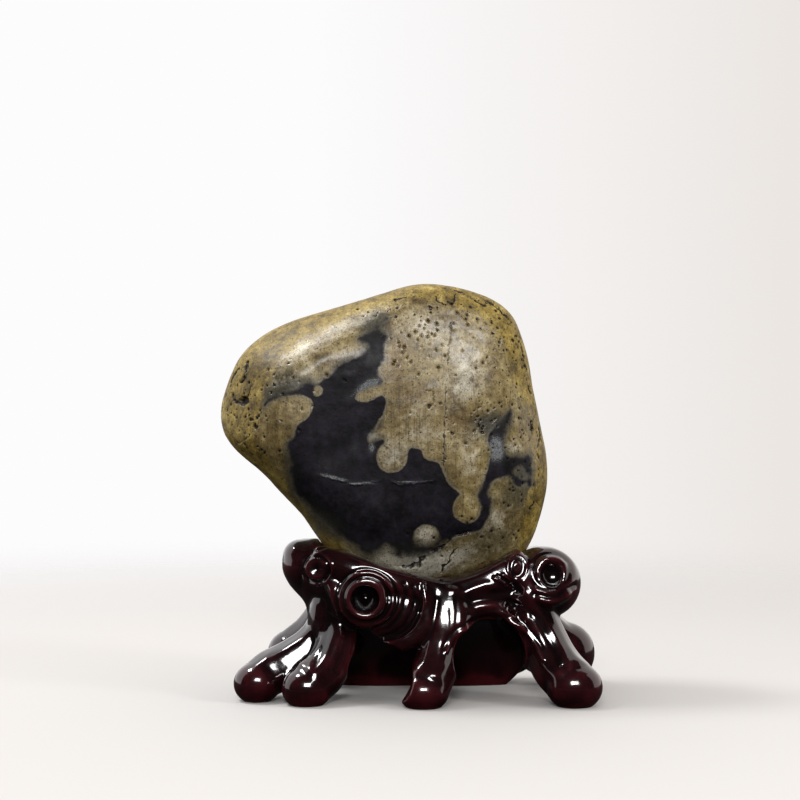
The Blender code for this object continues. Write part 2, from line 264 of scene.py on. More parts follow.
PITS: tuple[Pit, ...] = each(
    Pit,
    (-108.3, 23, 4.3, 3.2), (35.4, 95.2, 1.9, 1.2), (40.6, 94.9, 1, 0.9), (44.9, 97.6, 1.2, 1),
    (51.7, 98.3, 1.5, 1.1), (22.5, 89.2, 0.9, 0.8), (28.2, 87.8, 0.9, 0.8), (35.4, 91.2, 0.9, 0.8),
    (40.2, 77.5, 1, 0.9), (36.3, 75.1, 0.9, 0.8), (31.1, 82, 0.8, 0.7), (7, 51.4, 1.4, 0.9),
    (12.2, 66, 0.9, 0.7), (82.7, 75.1, 1.2, 1), (82.2, 84.9, 0.8, 0.7), (78.4, 56.5, 0.8, 0.7),
    (72.4, 99.8, 0.9, 0.8), (34.5, 19.1, 2.2, 0.9), (51.7, -1.9, 1.5, 0.9), (47.4, 10.1, 0.9, 0.7),
    (59.5, 8.4, 0.8, 0.7), (67.2, 12.7, 0.8, 0.7), (72.4, 5.3, 1, 0.8), (75.3, -1.1, 1.4, 1),
    (27.7, -1.1, 1, 0.6), (45.2, -12.2, 0.8, 0.7), (44.9, -17.4, 0.8, 0.7), (44.5, -22.9, 0.9, 0.8),
    (-98.7, 10.1, 1.5, 1.2), (-99.5, 3.2, 1.9, 1.4), (-102.1, 8.4, 1.2, 1), (-97.8, -12.2, 1.2, 1),
    (-92.6, -17.4, 1.4, 1.1), (-103.8, 11.8, 1, 0.9), (-85.8, 35.9, 0.8, 0.6), (112.7, 6.7, 1.2, 1),
    (113.8, 1.2, 1.2, 1), (97.3, 83.2, 1, 0.9), (101.1, 73.4, 1.2, 1), (103.5, 68.6, 1.2, 1),
    (99, 69.9, 1.2, 1), (-12.7, 91.8, 1, 0.8), (-8.4, 92.6, 0.9, 0.8), (7.9, 101.2, 0.9, 0.7),
    (16.5, 102.6, 0.9, 0.7), (93.8, 88.3, 0.9, 0.8), (112.4, -60, 1.4, 1), (72.4, -19.1, 0.8, 0.6),
    (78.4, -29.4, 0.8, 0.6), (71.5, 11, 1.1, 1), (73.5, 8.5, 1.3, 1.1), (76, 4, 1, 0.9),
    (70, 9, 0.9, 0.8), (74.8, 1.8, 1.4, 1.2), (103, -30.5, 1.0, 0.8),
)


def linear(code: str) -> Colour:
    """Turns an sRGB hex code into the linear colour that Blender works in.

    Args:
        code: Six hex digits.

    Returns:
        Red, green, blue and full opacity.
    """
    channels = [int(code[i : i + 2], 16) / 255 for i in (0, 2, 4)]
    r, g, b = (c / 12.92 if c <= 0.04045 else ((c + 0.055) / 1.055) ** 2.4 for c in channels)
    return r, g, b, 1.0


def per(size: float) -> float:
    """The scale of a pattern whose features are this many millimetres across."""
    return 1 / (size * MM)


def eased(low: float, high: float, value: np.ndarray) -> np.ndarray:
    """A smooth step from 0 at low to 1 at high."""
    t = np.clip((value - low) / (high - low), 0, 1)
    return t * t * (3 - 2 * t)


def line_distance(
    at: np.ndarray, line: Sequence[Point], closed: bool = False
) -> tuple[np.ndarray, np.ndarray]:
    """Measures points against a line of straight runs.

    Args:
        at: Points across and up, one a row.
        line: The line's corners.
        closed: Whether the last corner joins the first.

    Returns:
        The distance to the line, and its side: +1 on the line's left, -1 on its right.
    """
    corners = np.asarray(line, float)
    ends = np.roll(corners, -1, axis=0) if closed else corners[1:]
    starts = corners if closed else corners[:-1]
    best = np.full(len(at), np.inf)
    side = np.ones(len(at))
    for start, end in zip(starts, ends):
        run = end - start
        t = np.clip((at - start) @ run / (run @ run), 0, 1)
        away = at - start - t[:, None] * run
        distance = np.hypot(away[:, 0], away[:, 1])
        nearer = distance < best
        best[nearer] = distance[nearer]
        side[nearer] = np.sign(run[0] * away[:, 1] - run[1] * away[:, 0])[nearer]
    return best, side


def rounded(edge: Sequence[Point], rounds: int = 2) -> list[Point]:
    """Cuts a closed edge's corners off, so that it runs as a curve.

    Args:
        edge: The corners.
        rounds: How often each corner is cut.

    Returns:
        The corners of the smoother edge.
    """
    corners = np.asarray(edge, float)
    for _ in range(rounds):
        ahead = np.roll(corners, -1, axis=0)
        near, far = 0.75 * corners + 0.25 * ahead, 0.25 * corners + 0.75 * ahead
        corners = np.stack([near, far], axis=1).reshape(-1, 2)
    return [tuple(corner) for corner in corners]


def depth_in_patch(at: np.ndarray, edge: Sequence[Point]) -> np.ndarray:
    """How far inside a closed edge each point is.

    Args:
        at: Points across and up, one a row.
        edge: The patch's corners, which are rounded first.

    Returns:
        The distance to the edge, negative outside.
    """
    edge = rounded(edge)
    distance, _ = line_distance(at, edge, closed=True)
    inside = np.zeros(len(at), bool)
    x, z = at[:, 0], at[:, 1]
    for (x0, z0), (x1, z1) in zip(edge, (*edge[1:], edge[0])):
        if z0 != z1:
            crosses = (z0 > z) != (z1 > z)
            inside ^= crosses & (x < (x1 - x0) * (z - z0) / (z1 - z0) + x0)
    return np.where(inside, distance, -distance)


def seen_from(eye: Place, points: np.ndarray) -> np.ndarray:
    """Where points fall on the plane y = 0 as an eye in front sees them.

    Args:
        eye: The eye's place.
        points: Places, one a row.

    Returns:
        Across and up for each point.
    """
    away = np.array(eye)
    seen = away + (points - away) * (-away[1] / (points[:, 1] - away[1]))[:, None]
    return seen[:, (0, 2)]


def ripple(points: np.ndarray, size: float, octaves: int = 2, offset: float = 0.0) -> np.ndarray:
    """Smooth noise from about -1 to 1.

    Args:
        points: Places, one a row.
        size: The size of its waves in millimetres.
        octaves: Layers of finer and finer waves.
        offset: Moves the pattern, so that two ripples differ.

    Returns:
        One value a point.
    """
    shift = Vector((offset, offset, offset))
    values = (noise.fractal(Vector(p) / size + shift, 0.9, 2.1, octaves) for p in points)
    return np.fromiter(values, float, len(points))


def wander(points: np.ndarray, size: float, octaves: int, offsets: Point) -> np.ndarray:
    """Two ripples, one that moves a point across and one that moves it up.

    Args:
        points: Places, one a row.
        size: The size of the waves in millimetres.
        octaves: Layers of finer and finer waves.
        offsets: The offset of each ripple.

    Returns:
        Two values a point.
    """
    return np.stack([ripple(points, size, octaves, offset) for offset in offsets], axis=1)


def set_attribute(mesh: bpy.types.Mesh, name: str, values: np.ndarray) -> None:
    """Stores one number a vertex for the materials to read."""
    layer = mesh.attributes.new(name, "FLOAT", "POINT")
    layer.data.foreach_set("value", values.astype(np.float32))


def read_vectors(mesh: bpy.types.Mesh, name: str) -> np.ndarray:
    """Reads the vertices' places or normals as the mesh holds them.

    Args:
        mesh: The mesh.
        name: "co" for places or "normal" for normals.

    Returns:
        One vertex a row.
    """
    flat = np.empty(len(mesh.vertices) * 3)
    mesh.vertices.foreach_get(name, flat)
    return flat.reshape(-1, 3)


def place_vertices(mesh: bpy.types.Mesh, points: np.ndarray) -> None:
    """Writes vertices given in millimetres."""
    mesh.vertices.foreach_set("co", (points * MM).ravel())
    mesh.update()


def new_object(name: str, data: bpy.types.ID) -> bpy.types.Object:
    """Links a mesh, curve, light or camera into the scene as an object at the origin.

    Args:
        name: The object's name.
        data: What it holds.

    Returns:
        The object.
    """
    made = bpy.data.objects.new(name, data)
    bpy.context.scene.collection.objects.link(made)
    return made


def as_mesh(shape: bmesh.types.BMesh, name: str) -> bpy.types.Mesh:
    """Turns a shape into a mesh.

    Args:
        shape: The shape, which is freed.
        name: The mesh's name.

    Returns:
        The mesh.
    """
    mesh = bpy.data.meshes.new(name)
    shape.to_mesh(mesh)
    shape.free()
    return mesh


def modify(made: bpy.types.Object, name: str, kind: str, **settings: object) -> None:
    """Adds a modifier.

    Args:
        made: The object that gets it.
        name: The modifier's name.
        kind: Its type.
        **settings: Its settings.
    """
    modifier = made.modifiers.new(name, kind)
    for key, value in settings.items():
        setattr(modifier, key, value)


def settled(made: bpy.types.Object) -> bpy.types.Mesh:
    """Works an object's modifiers into a plain mesh and removes the object.

    Args:
        made: The object, which is gone afterwards.

    Returns:
        Its finished mesh.
    """
    graph = bpy.context.evaluated_depsgraph_get()
    mesh = bpy.data.meshes.new_from_object(made.evaluated_get(graph), depsgraph=graph)
    bpy.data.objects.remove(made)
    return mesh


def feed(node: bpy.types.Node, inputs: Mapping[str | int, object]) -> None:
    """Sets a node's inputs.

    Args:
        node: The node.
        inputs: A value, or the socket that feeds it, for each input by name or number.
    """
    for key, value in inputs.items():
        if isinstance(value, bpy.types.NodeSocket):
            node.id_data.links.new(value, node.inputs[key])
        else:
            node.inputs[key].default_value = value


def add_node(
    tree: bpy.types.NodeTree,
    kind: str,
    inputs: Mapping[str | int, object] | None = None,
    out: str | int = 0,
    **settings: object,
) -> bpy.types.NodeSocket | None:
    """Adds a node with its settings and links.

    Args:
        tree: The tree it joins.
        kind: The node's type.
        inputs: A value, or the socket that feeds it, for each input by name or number.
        out: The output to hand back.
        **settings: The node's own settings.

    Returns:
        The wanted output, or None where the node has none.
    """
    node = tree.nodes.new(kind)
    for name, value in settings.items():
        setattr(node, name, value)
    feed(node, inputs or {})
    return node.outputs[out] if node.outputs else None


@dataclass(frozen=True)
class Layer:
    """A colour that lies over what is below where its mask rises from low to high."""

    mask: bpy.types.NodeSocket
    low: float
    high: float
    share: float
    colour: object


def lay_over(add: partial, below: bpy.types.NodeSocket, *layers: Layer) -> bpy.types.NodeSocket:
    """Lays colours over one another.

    Args:
        add: add_node for the material's tree.
        below: The lowest colour.
        *layers: The colours above it, lowest first.

    Returns:
        The finished colour.
    """
    for layer in layers:
        limits = {"Value": layer.mask, "From Min": layer.low, "From Max": layer.high, "To Max": layer.share}
        amount = add("ShaderNodeMapRange", limits, interpolation_type="SMOOTHSTEP")
        below = add("ShaderNodeMix", {0: amount, 6: below, 7: layer.colour}, out=2, data_type="RGBA")
    return below


def mottled(
    add: partial, coarse: bpy.types.NodeSocket, small: bpy.types.NodeSocket, colours: Sequence[str]
) -> bpy.types.NodeSocket:
    """Clouded colour from two sizes of noise.

    Args:
        add: add_node for the material's tree.
        coarse: The larger noise.
        small: The smaller noise.
        colours: Hex colours, from where the noise is low to where it is high.

    Returns:
        The colour.
    """
    mixed = add("ShaderNodeMix", {0: 0.5, 2: coarse, 3: small})
    ramp = add("ShaderNodeValToRGB", {0: mixed})
    elements = ramp.node.color_ramp.elements
    while len(elements) < len(colours):
        elements.new(0.5)
    # Nearly all of the noise lies between these two values.
    for element, place, code in zip(elements, np.linspace(0.36, 0.66, len(colours)), colours):
        element.position = place
        element.color = linear(code)
    return ramp


def new_material(name: str) -> tuple[bpy.types.Material, partial, bpy.types.Node]:
    """Starts a node material.

    Args:
        name: The material's name.

    Returns:
        The material, add_node for its tree, and its shader node.
    """
    made = bpy.data.materials.new(name)
    made.use_nodes = True
    return made, partial(add_node, made.node_tree), made.node_tree.nodes["Principled BSDF"]


@dataclass(frozen=True)
class Recipe:
    """A node group's sizes: each field is one of its named inputs."""

    def values(self) -> dict[str, float]:
        """The inputs' values by their names."""
        return {key.replace("_", " ").title(): value for key, value in vars(self).items()}

    def start(self, name: str) -> tuple[partial, Mapping[str, bpy.types.NodeSocket], bpy.types.NodeTree]:
        """Starts a node group that takes a shape, the sizes and a material.

        Args:
            name: The group's name.

        Returns:
            add_node for the group, its inputs inside, and the group.
        """
        group = bpy.data.node_groups.new(name, "GeometryNodeTree")
        kinds = {key: "Int" if isinstance(value, int) else "Float" for key, value in self.values().items()}
        for key, kind in {"Geometry": "Geometry", **kinds, "Material": "Material"}.items():
            group.interface.new_socket(key, in_out="INPUT", socket_type=f"NodeSocket{kind}")
        group.interface.new_socket("Geometry", in_out="OUTPUT", socket_type="NodeSocketGeometry")
        add = partial(add_node, group)
        return add, add("NodeGroupInput").node.outputs, group

    def tree(self) -> bpy.types.NodeTree:
        """Builds the node group; each recipe has its own."""
        raise NotImplementedError

    def close(
        self, add: partial, shape: bpy.types.NodeSocket, given: Mapping[str, bpy.types.NodeSocket]
    ) -> None:
        """Ends a node group with its real geometry in its material.

        Args:
            add: add_node for the group.
            shape: The finished geometry.
            given: The group's inputs.
        """
        real = add("GeometryNodeRealizeInstances", {"Geometry": shape})
        dressed = add("GeometryNodeSetMaterial", {"Geometry": real, "Material": given["Material"]})
        add("NodeGroupOutput", {"Geometry": dressed})

    def run(self, made: bpy.types.Object, finish: bpy.types.Material) -> bpy.types.Mesh:
        """Runs the node group on an object.

        Args:
            made: The object, which is gone afterwards.
            finish: The material of the result.

        Returns:
            The finished mesh.
        """
        group = self.tree()
        modifier = made.modifiers.new(group.name, "NODES")
        modifier.node_group = group
        values = {**self.values(), "Material": finish}
        for item in group.interface.items_tree:
            if item.in_out == "INPUT" and item.name in values:
                modifier[item.identifier] = values[item.name]
        return settled(made)


@dataclass(frozen=True)
class StoneFinish:
    """Water-worn siltstone, hand-rubbed with wax.

    Wear leaves an even, satin skin; the wax darkens it and adds a soft sheen over the grain.
    """

    tan: tuple[str, ...] = ("413419", "78663e", "9a885a", "c2b388")
    ochre: tuple[str, ...] = ("392c0e", "756127", "9f8740", "c6b168")
    dark: tuple[str, ...] = ("0a080b", "141217", "221f27", "2e2b31")
    thin: str = "2c2d25"
    grey: str = "35362f"
    cream: str = "d0c9b6"
    rust: str = "7a5c2a"
    scuff: str = "7f8081"
    slate: str = "565d60"
    pepper: str = "2a2010"
    # Near-black for the pits, cracks and pinholes, as dirt and painted shade, and for the painted shade
    # where the pale patches go negative.
    grime: str = "120d07"

    def material(self) -> bpy.types.Material:
        """Builds the material from the stone's stored markings.

        Returns:
            The material.
        """
        made, add, surface = new_material("waxed river siltstone")
        place = add("ShaderNodeTexCoord", out="Object")
        # Clouded beds of silt about 22 mm and 7 mm across, grain of 2.2 mm and, drawn coarser than the
        # real 0.1 mm so that it shows, fine grain of 0.8 mm. Pinholes lie in groups of 15 mm.
        beds, cloud, grain, fine, groups = (
            add(
                "ShaderNodeTexNoise",
                {"Vector": place, "Scale": per(size), "Detail": detail, "Roughness": roughness},
            )
            for size, detail, roughness in (
                (22, 6.0, 0.62), (7, 8.0, 0.72), (2.2, 5.0, 0.65), (0.8, 2.0, 0.5), (15, 2.0, 0.5),
            )
        )
        # Upright scratches 1 mm apart and 40 mm long.
        upright = add("ShaderNodeMapping", {"Vector": place, "Scale": (per(1), per(1), per(40))})
        scratch = add("ShaderNodeTexNoise", {"Vector": upright, "Scale": 1.0, "Detail": 3.0})
        # Pepper grains 0.8 mm wide, and pinholes 1 mm wide about 4 mm apart.
        specks, cells = (
            add("ShaderNodeTexVoronoi", {"Vector": place, "Scale": per(size)}, out="Distance")
            for size in (2.6, 4)
        )
        dark, rind, light, grey, rust, bloom, soft, hollow = (
            add("ShaderNodeAttribute", attribute_name=name, out="Fac")
            for name in ("dark", "rind", "light", "grey", "rust", "bloom", "soft", "hollow")
        )
        # The dark field's edge is crisp, but strays and blurs by some millimetres where it is soft.
        # The rind's edge strays further, and the pale silt flakes a little, where the pale patches
        # also paint highlights on the shoulder, the right swell and the lobe.
        centred = add("ShaderNodeMath", {0: cloud, 1: 0.5}, operation="SUBTRACT")
        reach, blur, stained = (
            add("ShaderNodeMath", {0: soft, 1: most, 2: least}, operation="MULTIPLY_ADD")
            for most, least in ((30.0, 3.5), (9.0, 0.5), (9.0, dark))
        )
        frayed, strayed, flakes_and_painted_highlights = (
            add("ShaderNodeMath", {0: centred, 1: by, 2: edge}, operation="MULTIPLY_ADD")
            for by, edge in ((reach, dark), (26.0, rind), (1.6, light))
        )
        across = add("ShaderNodeMath", {0: frayed, 1: blur}, operation="DIVIDE")
        in_dark, on_rind, grouped, hole, speck = (
            add("ShaderNodeMapRange", {"Value": value, "From Min": none, "From Max": full})
            for value, none, full in (
                (across, -1.0, 1.0), (strayed, -2.0, 5.0), (groups, 0.5, 0.58), (cells, 0.17, 0.07),
                (specks, 0.36, 0.16),
            )
        )
        holes, peppered, painted_glint_sparkle = (
            add("ShaderNodeMath", {0: one, 1: other}, operation="MULTIPLY")
            for one, other in ((hole, grouped), (speck, grain), (bloom, fine))
        )

        tan, ochre, black = (mottled(add, beds, cloud, codes) for codes in (self.tan, self.ochre, self.dark))
        body = lay_over(
            add,
            tan,
            Layer(rust, 0.0, 1.0, 0.75, linear(self.rust)),
            Layer(grey, 0.0, 1.0, 0.8, linear(self.grey)),
            Layer(on_rind, 0.0, 1.0, 1.0, ochre),
            # Pale silt flakes, and painted highlights where the shoulder, the right swell and the lobe
            # glare.
            Layer(flakes_and_painted_highlights, 0.08, 1.0, 0.85, linear(self.cream)),
            Layer(dark, -2.4, -0.8, 0.15, linear(self.cream)),
            Layer(stained, -5.0, 1.5, 0.6, linear(self.grey)),
            Layer(peppered, 0.3, 0.46, 0.7, linear(self.pepper)),
            Layer(scratch, 0.5, 0.7, 0.45, linear(self.pepper)),
        )
        deep = lay_over(
            add,
            black,
            Layer(soft, 0.0, 0.8, 1.0, linear(self.thin)),
            # Grey scuffs, and painted glints with a painted sparkle where the patches are strongest.
            Layer(bloom, 0.0, 1.0, 0.1, linear(self.scuff)),
            Layer(bloom, 0.65, 1.0, 0.45, linear(self.slate)),
            Layer(painted_glint_sparkle, 0.28, 0.6, 0.9, linear(self.scuff)),
        )
        colour = lay_over(
            add,
            body,
            Layer(in_dark, 0.0, 1.0, 1.0, deep),
            # Painted shade where the pale patches go negative, as between the right swell and the lobe.
            Layer(light, 0.0, -1.0, 0.6, linear(self.grime)),
            Layer(grain, 0.53, 0.66, 0.55, linear(self.pepper)),
            # Pinholes, pits and cracks filled near-black, as dirt and painted shade.
            Layer(holes, 0.0, 1.0, 0.8, linear(self.grime)),
            Layer(hollow, 0.1, 0.7, 0.95, linear(self.grime)),
        )

        height = add("ShaderNodeMath", {0: fine, 1: 0.4, 2: grain}, operation="MULTIPLY_ADD")
        sunk = add("ShaderNodeMath", {0: height, 1: holes}, operation="SUBTRACT")
        # The wax polishes the tan silt most, and the rind and the dark clay least.
        unpolished = add("ShaderNodeMath", {0: in_dark, 1: on_rind}, operation="MAXIMUM")
        matt = add("ShaderNodeMath", {0: grain, 1: 0.3, 2: 0.24}, operation="MULTIPLY_ADD")
        rough = add("ShaderNodeMath", {0: unpolished, 1: 0.14, 2: matt}, operation="MULTIPLY_ADD")
        wax, sheen = (
            add("ShaderNodeMapRange", {"Value": value, "To Min": most, "To Max": least})
            for value, most, least in ((unpolished, 0.34, 0.05), (in_dark, 0.4, 0.12))
        )
        looks = {
            "Base Color": colour,
            "Normal": add("ShaderNodeBump", {"Strength": 0.5, "Distance": 0.5 * MM, "Height": sunk}),
            "Roughness": rough,
            "Coat Weight": wax,
            "Coat Roughness": 0.22,
            "Specular IOR Level": sheen,
            "IOR": 1.5,
        }
        feed(surface, looks)
        return made


@dataclass(frozen=True)
class PitScatter(Recipe):
    """Small pits that Geometry Nodes scatter over the stone where its pitting is high."""

    spacing: float = 2.4 * MM
    density: float = 36000.0
    smallest: float = 0.6 * MM
    largest: float = 1.8 * MM
    depth: float = 0.75
    seed: int = 7

    def tree(self) -> bpy.types.NodeTree:
        """Builds the group: middles scattered over the shape, each pressed in as a bowl and darkened
        as dirt and painted shade.

        Returns:
            The node group.
        """
        add, given, group = self.start("water-worn pits")
        whole, stored = given["Geometry"], "GeometryNodeStoreNamedAttribute"
        pitting, pit_radius, hollow = (
            add("GeometryNodeInputNamedAttribute", {"Name": name}, data_type="FLOAT")
            for name in ("pitting", "pit_radius", "hollow")
        )
        spread = {"Mesh": whole, "Distance Min": given["Spacing"], "Density Max": given["Density"]}
        scattered = add(
            "GeometryNodeDistributePointsOnFaces",
            {**spread, "Density Factor": pitting, "Seed": given["Seed"]},
            distribute_method="POISSON",
        )
        sizes = {2: given["Smallest"], 3: given["Largest"], "Seed": given["Seed"]}
        radii = add("FunctionNodeRandomValue", sizes, out=1, data_type="FLOAT")
        sized = {"Geometry": scattered, "Name": "pit_radius", "Value": radii}
        middles = {"Geometry": add(stored, sized, data_type="FLOAT")}
        here = add("GeometryNodeInputPosition")
        nearest = add("GeometryNodeSampleNearest", {**middles, "Sample Position": here}, domain="POINT")
        middle, radius = (
            add("GeometryNodeSampleIndex", {**middles, "Value": value, "Index": nearest}, data_type=kind)
            for value, kind in ((here, "FLOAT_VECTOR"), (pit_radius, "FLOAT"))
        )
        away = add("ShaderNodeVectorMath", {0: here, 1: middle}, out="Value", operation="DISTANCE")
        share = add("ShaderNodeMath", {0: away, 1: radius}, operation="DIVIDE")
        rim_to_floor = {"Value": share, "From Min": 1.0, "From Max": 0.25}
        bowl = add("ShaderNodeMapRange", rim_to_floor, interpolation_type="SMOOTHSTEP")
        # Each pit's bowl is also marked dark, as dirt and painted shade.
        darker = add("ShaderNodeMath", {0: hollow, 1: bowl}, operation="MAXIMUM")
        marked = add(stored, {"Geometry": whole, "Name": "hollow", "Value": darker}, data_type="FLOAT")
        reach = add("ShaderNodeMath", {0: bowl, 1: radius}, operation="MULTIPLY")
        inward = add("ShaderNodeMath", {0: given["Depth"], 1: -1.0}, operation="MULTIPLY")
        sink = add("ShaderNodeMath", {0: reach, 1: inward}, operation="MULTIPLY")
        outward = add("GeometryNodeInputNormal")
        offset = add("ShaderNodeVectorMath", {0: outward, "Scale": sink}, operation="SCALE")
        self.close(add, add("GeometryNodeSetPosition", {"Geometry": marked, "Offset": offset}), given)
        return group


@dataclass
class RiverStone:
    """The pebble: a rounded body with worn faces, markings and weathering.

    The outline is control radii every 15 degrees, anticlockwise from the right; each worn face
    has its outward direction, distance from the middle and softness. The eye is the place, from
    the middle, that the front's markings were drawn from. Each kind of marking is a sum of soft
    patches, and the pitting is how thickly the small pits lie. The edges wander by one measure in
    front and another behind, and the rind is that much deeper behind, at least and at most.
    """

    middle: Place = (-21.0, 0.0, 201.0)
    outline: tuple[float, ...] = (
        119.3, 117.1, 124.4, 136.1, 124.2, 118.4, 104.4, 100.9, 103.0, 114.6, 125.2, 126.7, 130.1, 99.5,
        91.8, 88.0, 97.6, 110.5, 118.2, 123.5, 130.4, 146.3, 135.9, 131.1,
    )
    front_depth: float = 64.0
    back_depth: float = 70.0
    squareness: float = 2.5
    eye: Place = (11.8, -1300.0, 23.8)
    cells: int = 56
    fine_front: float = -14.0
    worn_faces: tuple[tuple[Place, float, float], ...] = (
        ((0.02, -1.0, 0.03), 55, 3), ((-0.33, -0.67, 0.66), 90, 4), ((0.16, -0.93, 0.32), 69, 5),
        ((0.82, -0.57, 0.1), 112, 5), ((-0.74, -0.66, 0.1), 103, 4), ((-0.55, -0.64, -0.53), 92, 4),
        ((0.05, -0.87, -0.49), 87, 5), ((-0.06, 0.99, 0.1), 62, 6), ((0.3, 0.72, 0.62), 97, 6),
        ((-0.66, 0.72, -0.2), 97, 6), ((0.15, 0.8, -0.58), 92, 6),
    )
    swells: tuple[Cloud, ...] = each(
        Cloud,
        (66, 34, 26, 26, 2.2), (70, -20, 20, 20, 2.0), (-62, 52, 24, 24, 1.6), (-38, 34, 26, 26, -2.0),
        (74, 8, 16, 16, -1.4), (-22, -30, 42, 42, -1.6), (-44, 70, 50, 8, 1.6, 27),
        (-36, 50, 44, 11, -1.4, 27),
    )
    pale_spots: tuple[Disc, ...] = each(
        Disc,
        (-51.4, 31.1, 3.8, 4.3), (31.9, -80.6, 9.6, 8.6), (104, -31.6, 4.4, 4.2),
        (107.4, -34.8, 3.8, 3.4),
    )
    back_spots: tuple[Disc, ...] = each(Disc, (30, 31, 8, 6), (-44, -18, 9, 8))
    # Pale patches: pale silt, spots and flakes, and painted highlights on the upper left shoulder below the
    # rind, on the right swell and on the lobe. Negative ones darken the stone, as painted shade between the
    # right swell and the lobe.
    lights: tuple[Cloud, ...] = each(
        Cloud,
        (-62, 60, 30, 7, 0.35, 28), (-22, 84, 26, 7, 0.5, 22), (22, 86, 20, 9, 0.4),
        (62, 38, 13, 20, 0.55), (76, 54, 18, 14, 0.2), (66, -22, 9, 15, 0.45), (-9, -5, 7, 5, 0.6),
        (52, -98, 24, 9, 0.7, 18), (84, -66, 16, 8, 0.5, 30), (86, -34, 14, 8, 0.35, 30),
        (20, -104, 12, 5, 0.4), (-4, -92, 8, 5, 0.4), (99, -12, 7, 6, 0.6), (5, -19, 12, 11, 0.6),
        (62, -57, 11, 11, 0.1), (31, -79, 10, 9, 0.95), (30, -107, 10, 5, 0.7), (30, -4, 26, 9, 0.35),
        (14, -102, 30, 8, 1.0), (6, -90, 7, 5, 0.5), (-26, -94, 12, 6, 0.4, -30),
        (-14, 62, 30, 5, 0.35, 24), (30, 16, 20, 16, 0.35), (24, 48, 12, 20, -0.1), (40, 8, 10, 14, -0.1),
        (-78, 38, 16, 6, 0.25, 18), (90, -74, 16, 9, 0.3), (-70, 8, 12, 14, -0.15),
        (70, 10, 10, 8, -0.25), (92, -70, 18, 14, -0.15),
    )
    greys: tuple[Cloud, ...] = each(
        Cloud,
        (107, 20, 7, 30, 0.5), (112, -50, 7, 30, 0.45), (-72, -30, 10, 26, 0.45),
        (-50, -70, 22, 8, 0.5, -42), (-4, 90, 10, 6, 0.6), (-76, 44, 24, 9, 0.6, 20),
        (37, -99, 5, 7, 1.5), (106, -32.5, 6, 6, 0.9), (82, 6, 8, 5, 0.7), (-78, 33, 20, 6, 0.6, 14),
        (-93, 22, 8, 10, 0.6), (76, 6, 12, 7, 0.7), (70, -4, 16, 6, 0.4), (6, -98, 40, 10, 0.35),
        (66, -90, 24, 10, 0.4), (86, 10, 9, 14, 0.55), (88, -14, 9, 10, 0.9), (98, -50, 16, 16, 0.75),
        (88, -80, 22, 12, 0.55), (30, -98, 14, 7, 0.5), (-14, 82, 10, 7, 0.8), (98, 52, 8, 16, 0.3),
    )
    rusts: tuple[Cloud, ...] = each(
        Cloud,
        (10, 62, 12, 14, 0.5), (24, 24, 24, 18, 0.35), (4, 44, 10, 10, 0.4), (60, 6, 20, 10, 0.45),
        (-118, 20, 10, 22, 0.5), (-105, -12, 14, 14, 0.45), (104, -26, 9, 8, 0.8), (28, -2, 6, 4, 0.7),
    )
    # Grey scuffs in the dark field, and painted glints along the ledge, beside the pale spot and on the
    # right patch.
    blooms: tuple[Cloud, ...] = each(
        Cloud,
        (-10, 37, 9, 4, 1.0, 20), (-10, -3, 5, 3, 1.0), (-10, -13, 3.5, 6, 1.0),
        (-38, -36, 12, 1.5, 1.0, -12), (-17, -40.5, 13, 1.1, 1.2), (18, -39, 15, 0.9, 1.0),
        (86, -14, 8, 13, 1.25), (-46, -26, 22, 14, 0.5), (-20, 30, 16, 5, 0.7, 24), (-22, -12, 5, 9, 0.5),
        (-30, -66, 34, 10, 0.12),
    )
    softs: tuple[Cloud, ...] = each(
        Cloud,
        (-2, 86, 10, 7, 0.35), (-60, 40, 20, 6, 0.25, 20), (-74, -30, 9, 24, 0.35),
        (-52, -68, 22, 10, 0.45, -45), (-82, 34, 20, 7, 0.5, 16), (-30, 58, 18, 5, 0.3, 24),
        (106, -8, 12, 12, 0.3), (-12, 76, 13, 12, 0.3), (-8, 58, 8, 6, 0.25), (104, -30, 14, 14, 0.2),
        (92, 6, 8, 9, 0.3), (76, -48, 7, 10, 0.1), (84, -56, 9, 14, 0.12), (44, -90, 26, 10, 0.25),
        (0, -92, 30, 8, 0.35), (-44, -76, 18, 12, 0.3), (-10, 40, 6, 5, 0.4), (-8, -4, 6, 8, 0.3),
    )
    pitting: tuple[Cloud, ...] = each(
        Cloud,
        (60, 80, 46, 26, 0.36), (40, 84, 16, 7, 0.6), (98, 62, 16, 36, 0.9), (84, 8, 22, 18, 0.9),
        (-6, 90, 22, 5, 0.5, 20), (96, -48, 14, 16, 0.6), (112, -20, 14, 60, 0.6), (-104, 8, 22, 26, 0.9),
        (-70, 40, 26, 14, 0.45), (20, 60, 24, 24, 0.5), (46, -16, 10, 24, 0.5), (76, -80, 40, 18, 0.35),
        (-90, -20, 16, 20, 0.5),
    )
    back_soft: float = 0.45
    back_pitting: float = 0.3
    back_rind: tuple[float, float] = (4, 14)
    edge_wander: tuple[float, float] = (0.5, 4.0)
    edge_waves: float = 7
    crack_wander: float = 1.1
    crack_waves: float = 3
    low_ripple: float = 0.4
    low_waves: float = 22
    fine_ripple: float = 0.09
    fine_waves: float = 5
    finish: StoneFinish = field(default_factory=StoneFinish)
    scatter: PitScatter = field(default_factory=PitScatter)

    def radius(self, angle: np.ndarray) -> np.ndarray:
        """Distance from the middle to the front outline.

        Args:
            angle: Angles anticlockwise from the right.

        Returns:
            Millimetres, on a smooth closed curve.
        """
        controls = np.array(self.outline)
        position = angle / (2 * math.pi) * len(controls)
        first = np.floor(position).astype(int)
        t = position - first
        weights = ((1 - t) ** 3, 3 * t**3 - 6 * t**2 + 4, -3 * t**3 + 3 * t**2 + 3 * t + 1, t**3)
        return sum(w * controls[(first - 1 + k) % len(controls)] for k, w in enumerate(weights)) / 6

